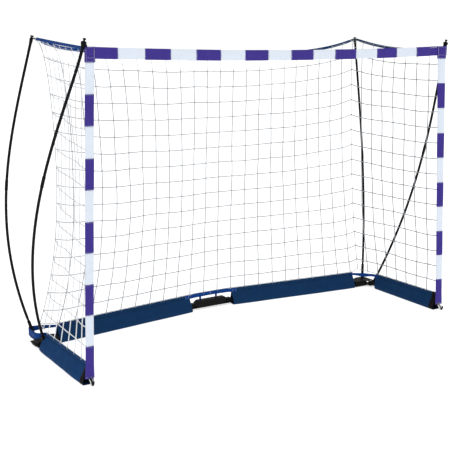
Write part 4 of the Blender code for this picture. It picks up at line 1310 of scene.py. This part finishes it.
# ------------------------------------------------------------------ straps at the base
for s, side in SIDES:
    rear, flank = f"rear_{side}", f"side_{side}"
    # half of the centre strap, from the sleeve's hem to the middle, in a shallow arch
    soup = Soup()
    def span(u):
        x = 0.001 + 0.238 * u
        y = (PIVOT_Y if x < PIVOT_X else rear_axis_y(x)) - 0.0052 * min(1, max(0, (u - 0.75) / 0.1))
        return vec(s * x, y, 0.1120 + 0.0040 * max(0.0, 1 - (x / 0.188) ** 2))

    us = np.linspace(0, 1, 26)
    ribbon(soup, [span(u) for u in us], vec(0, 0, 1), 0.0320, 0.0022)
    for u in (0.86, 0.97):
        p = span(u) - vec(0, 0.0014, 0)
        stitches(soup, [p - vec(0, 0, 0.011), p + vec(0, 0, 0.011)], vec(0, -1, 0), 0.0006, 0.0036, 0.002, mat=1)
    o = soup.obj(f"centre_webbing_{side}", BLUE, THREAD, sharp=50)
    bend(o, "centre", rear, (s * 0.04, PIVOT_Y, 0), (s * 0.19, PIVOT_Y, 0), "webbing", *(["centre_strap"] if s < 0 else []))

    # tab that hangs the strap on the bracket: a loop of webbing over it, sewn below
    x = -0.094 if s < 0 else 0.052
    soup = Soup()
    loop = []
    for z, y in ((0.0745, 0.0), (0.080, -0.0026), (0.092, -0.0030), (0.105, -0.0034), (0.122, -0.0036), (0.1318, -0.0018), (0.1318, 0.0018), (0.122, 0.0036),
                 (0.105, 0.0034), (0.092, 0.0030), (0.080, 0.0026), (0.0745, 0.0004)):
        loop.append(vec(x, PIVOT_Y + y, z))
    ribbon(soup, loop, vec(1, 0, 0), 0.0150, 0.0014)
    for z in (0.0835, 0.0905):
        stitches(soup, [vec(x - 0.0055, PIVOT_Y - 0.0042, z), vec(x + 0.0055, PIVOT_Y - 0.0042, z)], vec(0, -1, 0), 0.0005, 0.003, 0.0016, mat=1)
    o = soup.obj(f"centre_tab_{side}", BLUE, THREAD, sharp=50)
    ride(o, "centre", "webbing")

    # corner strap, from the rear sleeve's end to the side sleeve: round the outside of the corner on the left, straight across inside it on the right
    way = np.array([(1.318, 0.8712, 0.104, 0.124)] + list(LASH if s < 0 else LASH_STRAIGHT) + [(1.4735, 0.700, 0.102, 0.124)])
    run = np.concatenate(([0], np.cumsum(np.linalg.norm(np.diff(way[:, :3], axis=0), axis=1))))
    line = np.array([[np.interp(q, run, way[:, c]) for c in range(4)] for q in np.linspace(0, run[-1], 90)])
    for _ in range(10):
        line[1:-1] = line[1:-1] * 0.5 + (line[:-2] + line[2:]) * 0.25
    line[:, 2] += 0.0009 * np.sin(np.linspace(0, 19, 90))
    soup = Soup()
    pts = np.array([vec(s * x, y, (lo + hi) / 2) for x, y, lo, hi in line])
    ribbon(soup, pts, vec(0, 0, 1), line[:, 3] - line[:, 2], 0.0022)
    for k in (2, 7, 82, 87):
        d = pts[k + 1] - pts[k]
        nrm = unit(vec(d[1], -d[0], 0))
        if nrm[0] * s < 0:
            nrm = -nrm
        q = pts[k] + nrm * 0.0013
        stitches(soup, [q - vec(0, 0, 0.0085), q + vec(0, 0, 0.0085)], nrm, 0.0006, 0.0036, 0.002, mat=1)
    for z in (0.0045, -0.0045):                          # rows along the deep part, where it is doubled
        for far in (-1, 1):
            row = [pts[k] + vec(0, 0, (line[k, 3] - line[k, 2]) / 2 * np.sign(z) - z) + unit(vec((pts[k + 1] - pts[k])[1], -(pts[k + 1] - pts[k])[0], 0)) * 0.0014 * far for k in range(30, 72)]
            stitches(soup, row, np.array([unit(vec((pts[k + 1] - pts[k])[1], -(pts[k + 1] - pts[k])[0], 0)) * far for k in range(30, 72)]), 0.0005, 0.0044, 0.0026, mat=2)
    o = soup.obj(f"corner_webbing_{side}", BLUE, THREAD, DARKTHREAD, sharp=50)
    bend(o, rear, flank, (s * SIDE_X, 0.880, 0), (s * SIDE_X, 0.730, 0), "webbing", f"corner_strap_{side}")

    # foot of the post: a white webbing loop sewn up inside it, round the hook below
    soup = Soup()
    prof = []
    for k in range(196, 345, 12):
        a = math.radians(k)
        prof.append((0.0074 * math.cos(a), 0.0100 + 0.0074 * math.sin(a)))
    left_leg = [(-0.0082 - 0.0012 * t, 0.012 + (0.0620 - 0.012) * t) for t in np.linspace(1, 0.06, 12)]
    right_leg = [(0.0082 + 0.0012 * t, 0.012 + (0.0620 - 0.012) * t) for t in np.linspace(0.06, 1, 12)]
    path = []
    for x, z in left_leg + prof + right_leg:
        ease = min(1.0, max(0.0, (z - 0.026) / 0.016))
        path.append(vec(s * SIDE_X + x + s * 0.004 * max(0, (z - 0.02) / 0.04), -0.030 + 0.380 * (z - 0.0036) + 0.0112 * ease * ease * (3 - 2 * ease), z))
    ribbon(soup, path, vec(0, 1, 0), [0.0150 - 0.0095 * min(1.0, max(0.0, (q[2] - 0.028) / 0.014)) for q in path], 0.0016)
    o = soup.obj(f"post_foot_loop_{side}", PALE, sharp=50)
    ride(o, flank, "white_webbing", f"post_loop_{side}")

# ------------------------------------------------------------------ floor, light and camera
def floor_look():
    m = bpy.data.materials.new("floor_look")
    m.use_nodes = True
    t = m.node_tree
    b = t.nodes["Principled BSDF"]
    b.inputs["Base Color"].default_value = (0.86, 0.86, 0.86, 1)
    b.inputs["Roughness"].default_value = 0.9
    b.inputs["Specular IOR Level"].default_value = 0.1
    b.inputs["Emission Color"].default_value = (1, 1, 1, 1)
    b.inputs["Emission Strength"].default_value = 0.60
    return m


me = bpy.data.meshes.new("floor")
me.from_pydata([(-400, -400, 0), (400, -400, 0), (400, 400, 0), (-400, 400, 0)], [], [(0, 1, 2, 3)])
me.materials.append(floor_look())
floor = bpy.data.objects.new("floor", me)
floor.location = (0, 0, -0.0006)
bpy.context.scene.collection.objects.link(floor)

scene = bpy.context.scene
world = bpy.data.worlds.new("studio")
scene.world = world
world.use_nodes = True
wt = world.node_tree
bg = wt.nodes["Background"]
bg.inputs["Color"].default_value = (1, 1, 1, 1)
bg.inputs["Strength"].default_value = 1.05
soft = wt.nodes.new("ShaderNodeBackground")
soft.inputs["Color"].default_value = (0.97, 0.985, 1.0, 1)
soft.inputs["Strength"].default_value = 0.50
path = wt.nodes.new("ShaderNodeLightPath")
pick = wt.nodes.new("ShaderNodeMixShader")
wt.links.new(path.outputs["Is Camera Ray"], pick.inputs["Fac"])
wt.links.new(soft.outputs[0], pick.inputs[1])
wt.links.new(bg.outputs[0], pick.inputs[2])
wt.links.new(pick.outputs[0], wt.nodes["World Output"].inputs["Surface"])


def sun(name, toward, strength, angle, colour=(1, 1, 1)):
    light = bpy.data.lights.new(name, "SUN")
    light.energy = strength
    light.angle = math.radians(angle)
    light.color = colour
    o = bpy.data.objects.new(name, light)
    o.rotation_euler = Vector(toward).to_track_quat("-Z", "Y").to_euler()
    scene.collection.objects.link(o)


sun("key", (0.35, 0.62, -0.95), 1.05, 40, (1.0, 0.99, 0.97))
sun("fill", (-0.8, 0.35, -0.55), 0.30, 60, (0.95, 0.97, 1.0))

FOCAL_PX, YAW, PITCH, ROLL = 895.6, math.radians(32.24), math.radians(-6.48), math.radians(-0.08)
eye = Vector(at(-3.601, -4.914, 2.057))
ahead = Vector((math.sin(YAW) * math.cos(PITCH), math.cos(YAW) * math.cos(PITCH), math.sin(PITCH)))
right = Vector((math.cos(YAW), -math.sin(YAW), 0))
up = right.cross(ahead)
r2 = right * math.cos(ROLL) + up * math.sin(ROLL)
u2 = up * math.cos(ROLL) - right * math.sin(ROLL)
cam = bpy.data.cameras.new("camera")
cam.sensor_fit = "AUTO"
cam.sensor_width = 36.0
cam.lens = FOCAL_PX / 450 * 36.0
cam.shift_y = -0.17
cam.clip_start, cam.clip_end = 0.05, 2000
camera = bpy.data.objects.new("camera", cam)
camera.matrix_world = Matrix.Translation(eye) @ Matrix((r2, u2, -ahead)).transposed().to_4x4()
scene.collection.objects.link(camera)
scene.camera = camera
scene.view_settings.view_transform = "Standard"
scene.view_settings.look = "None"
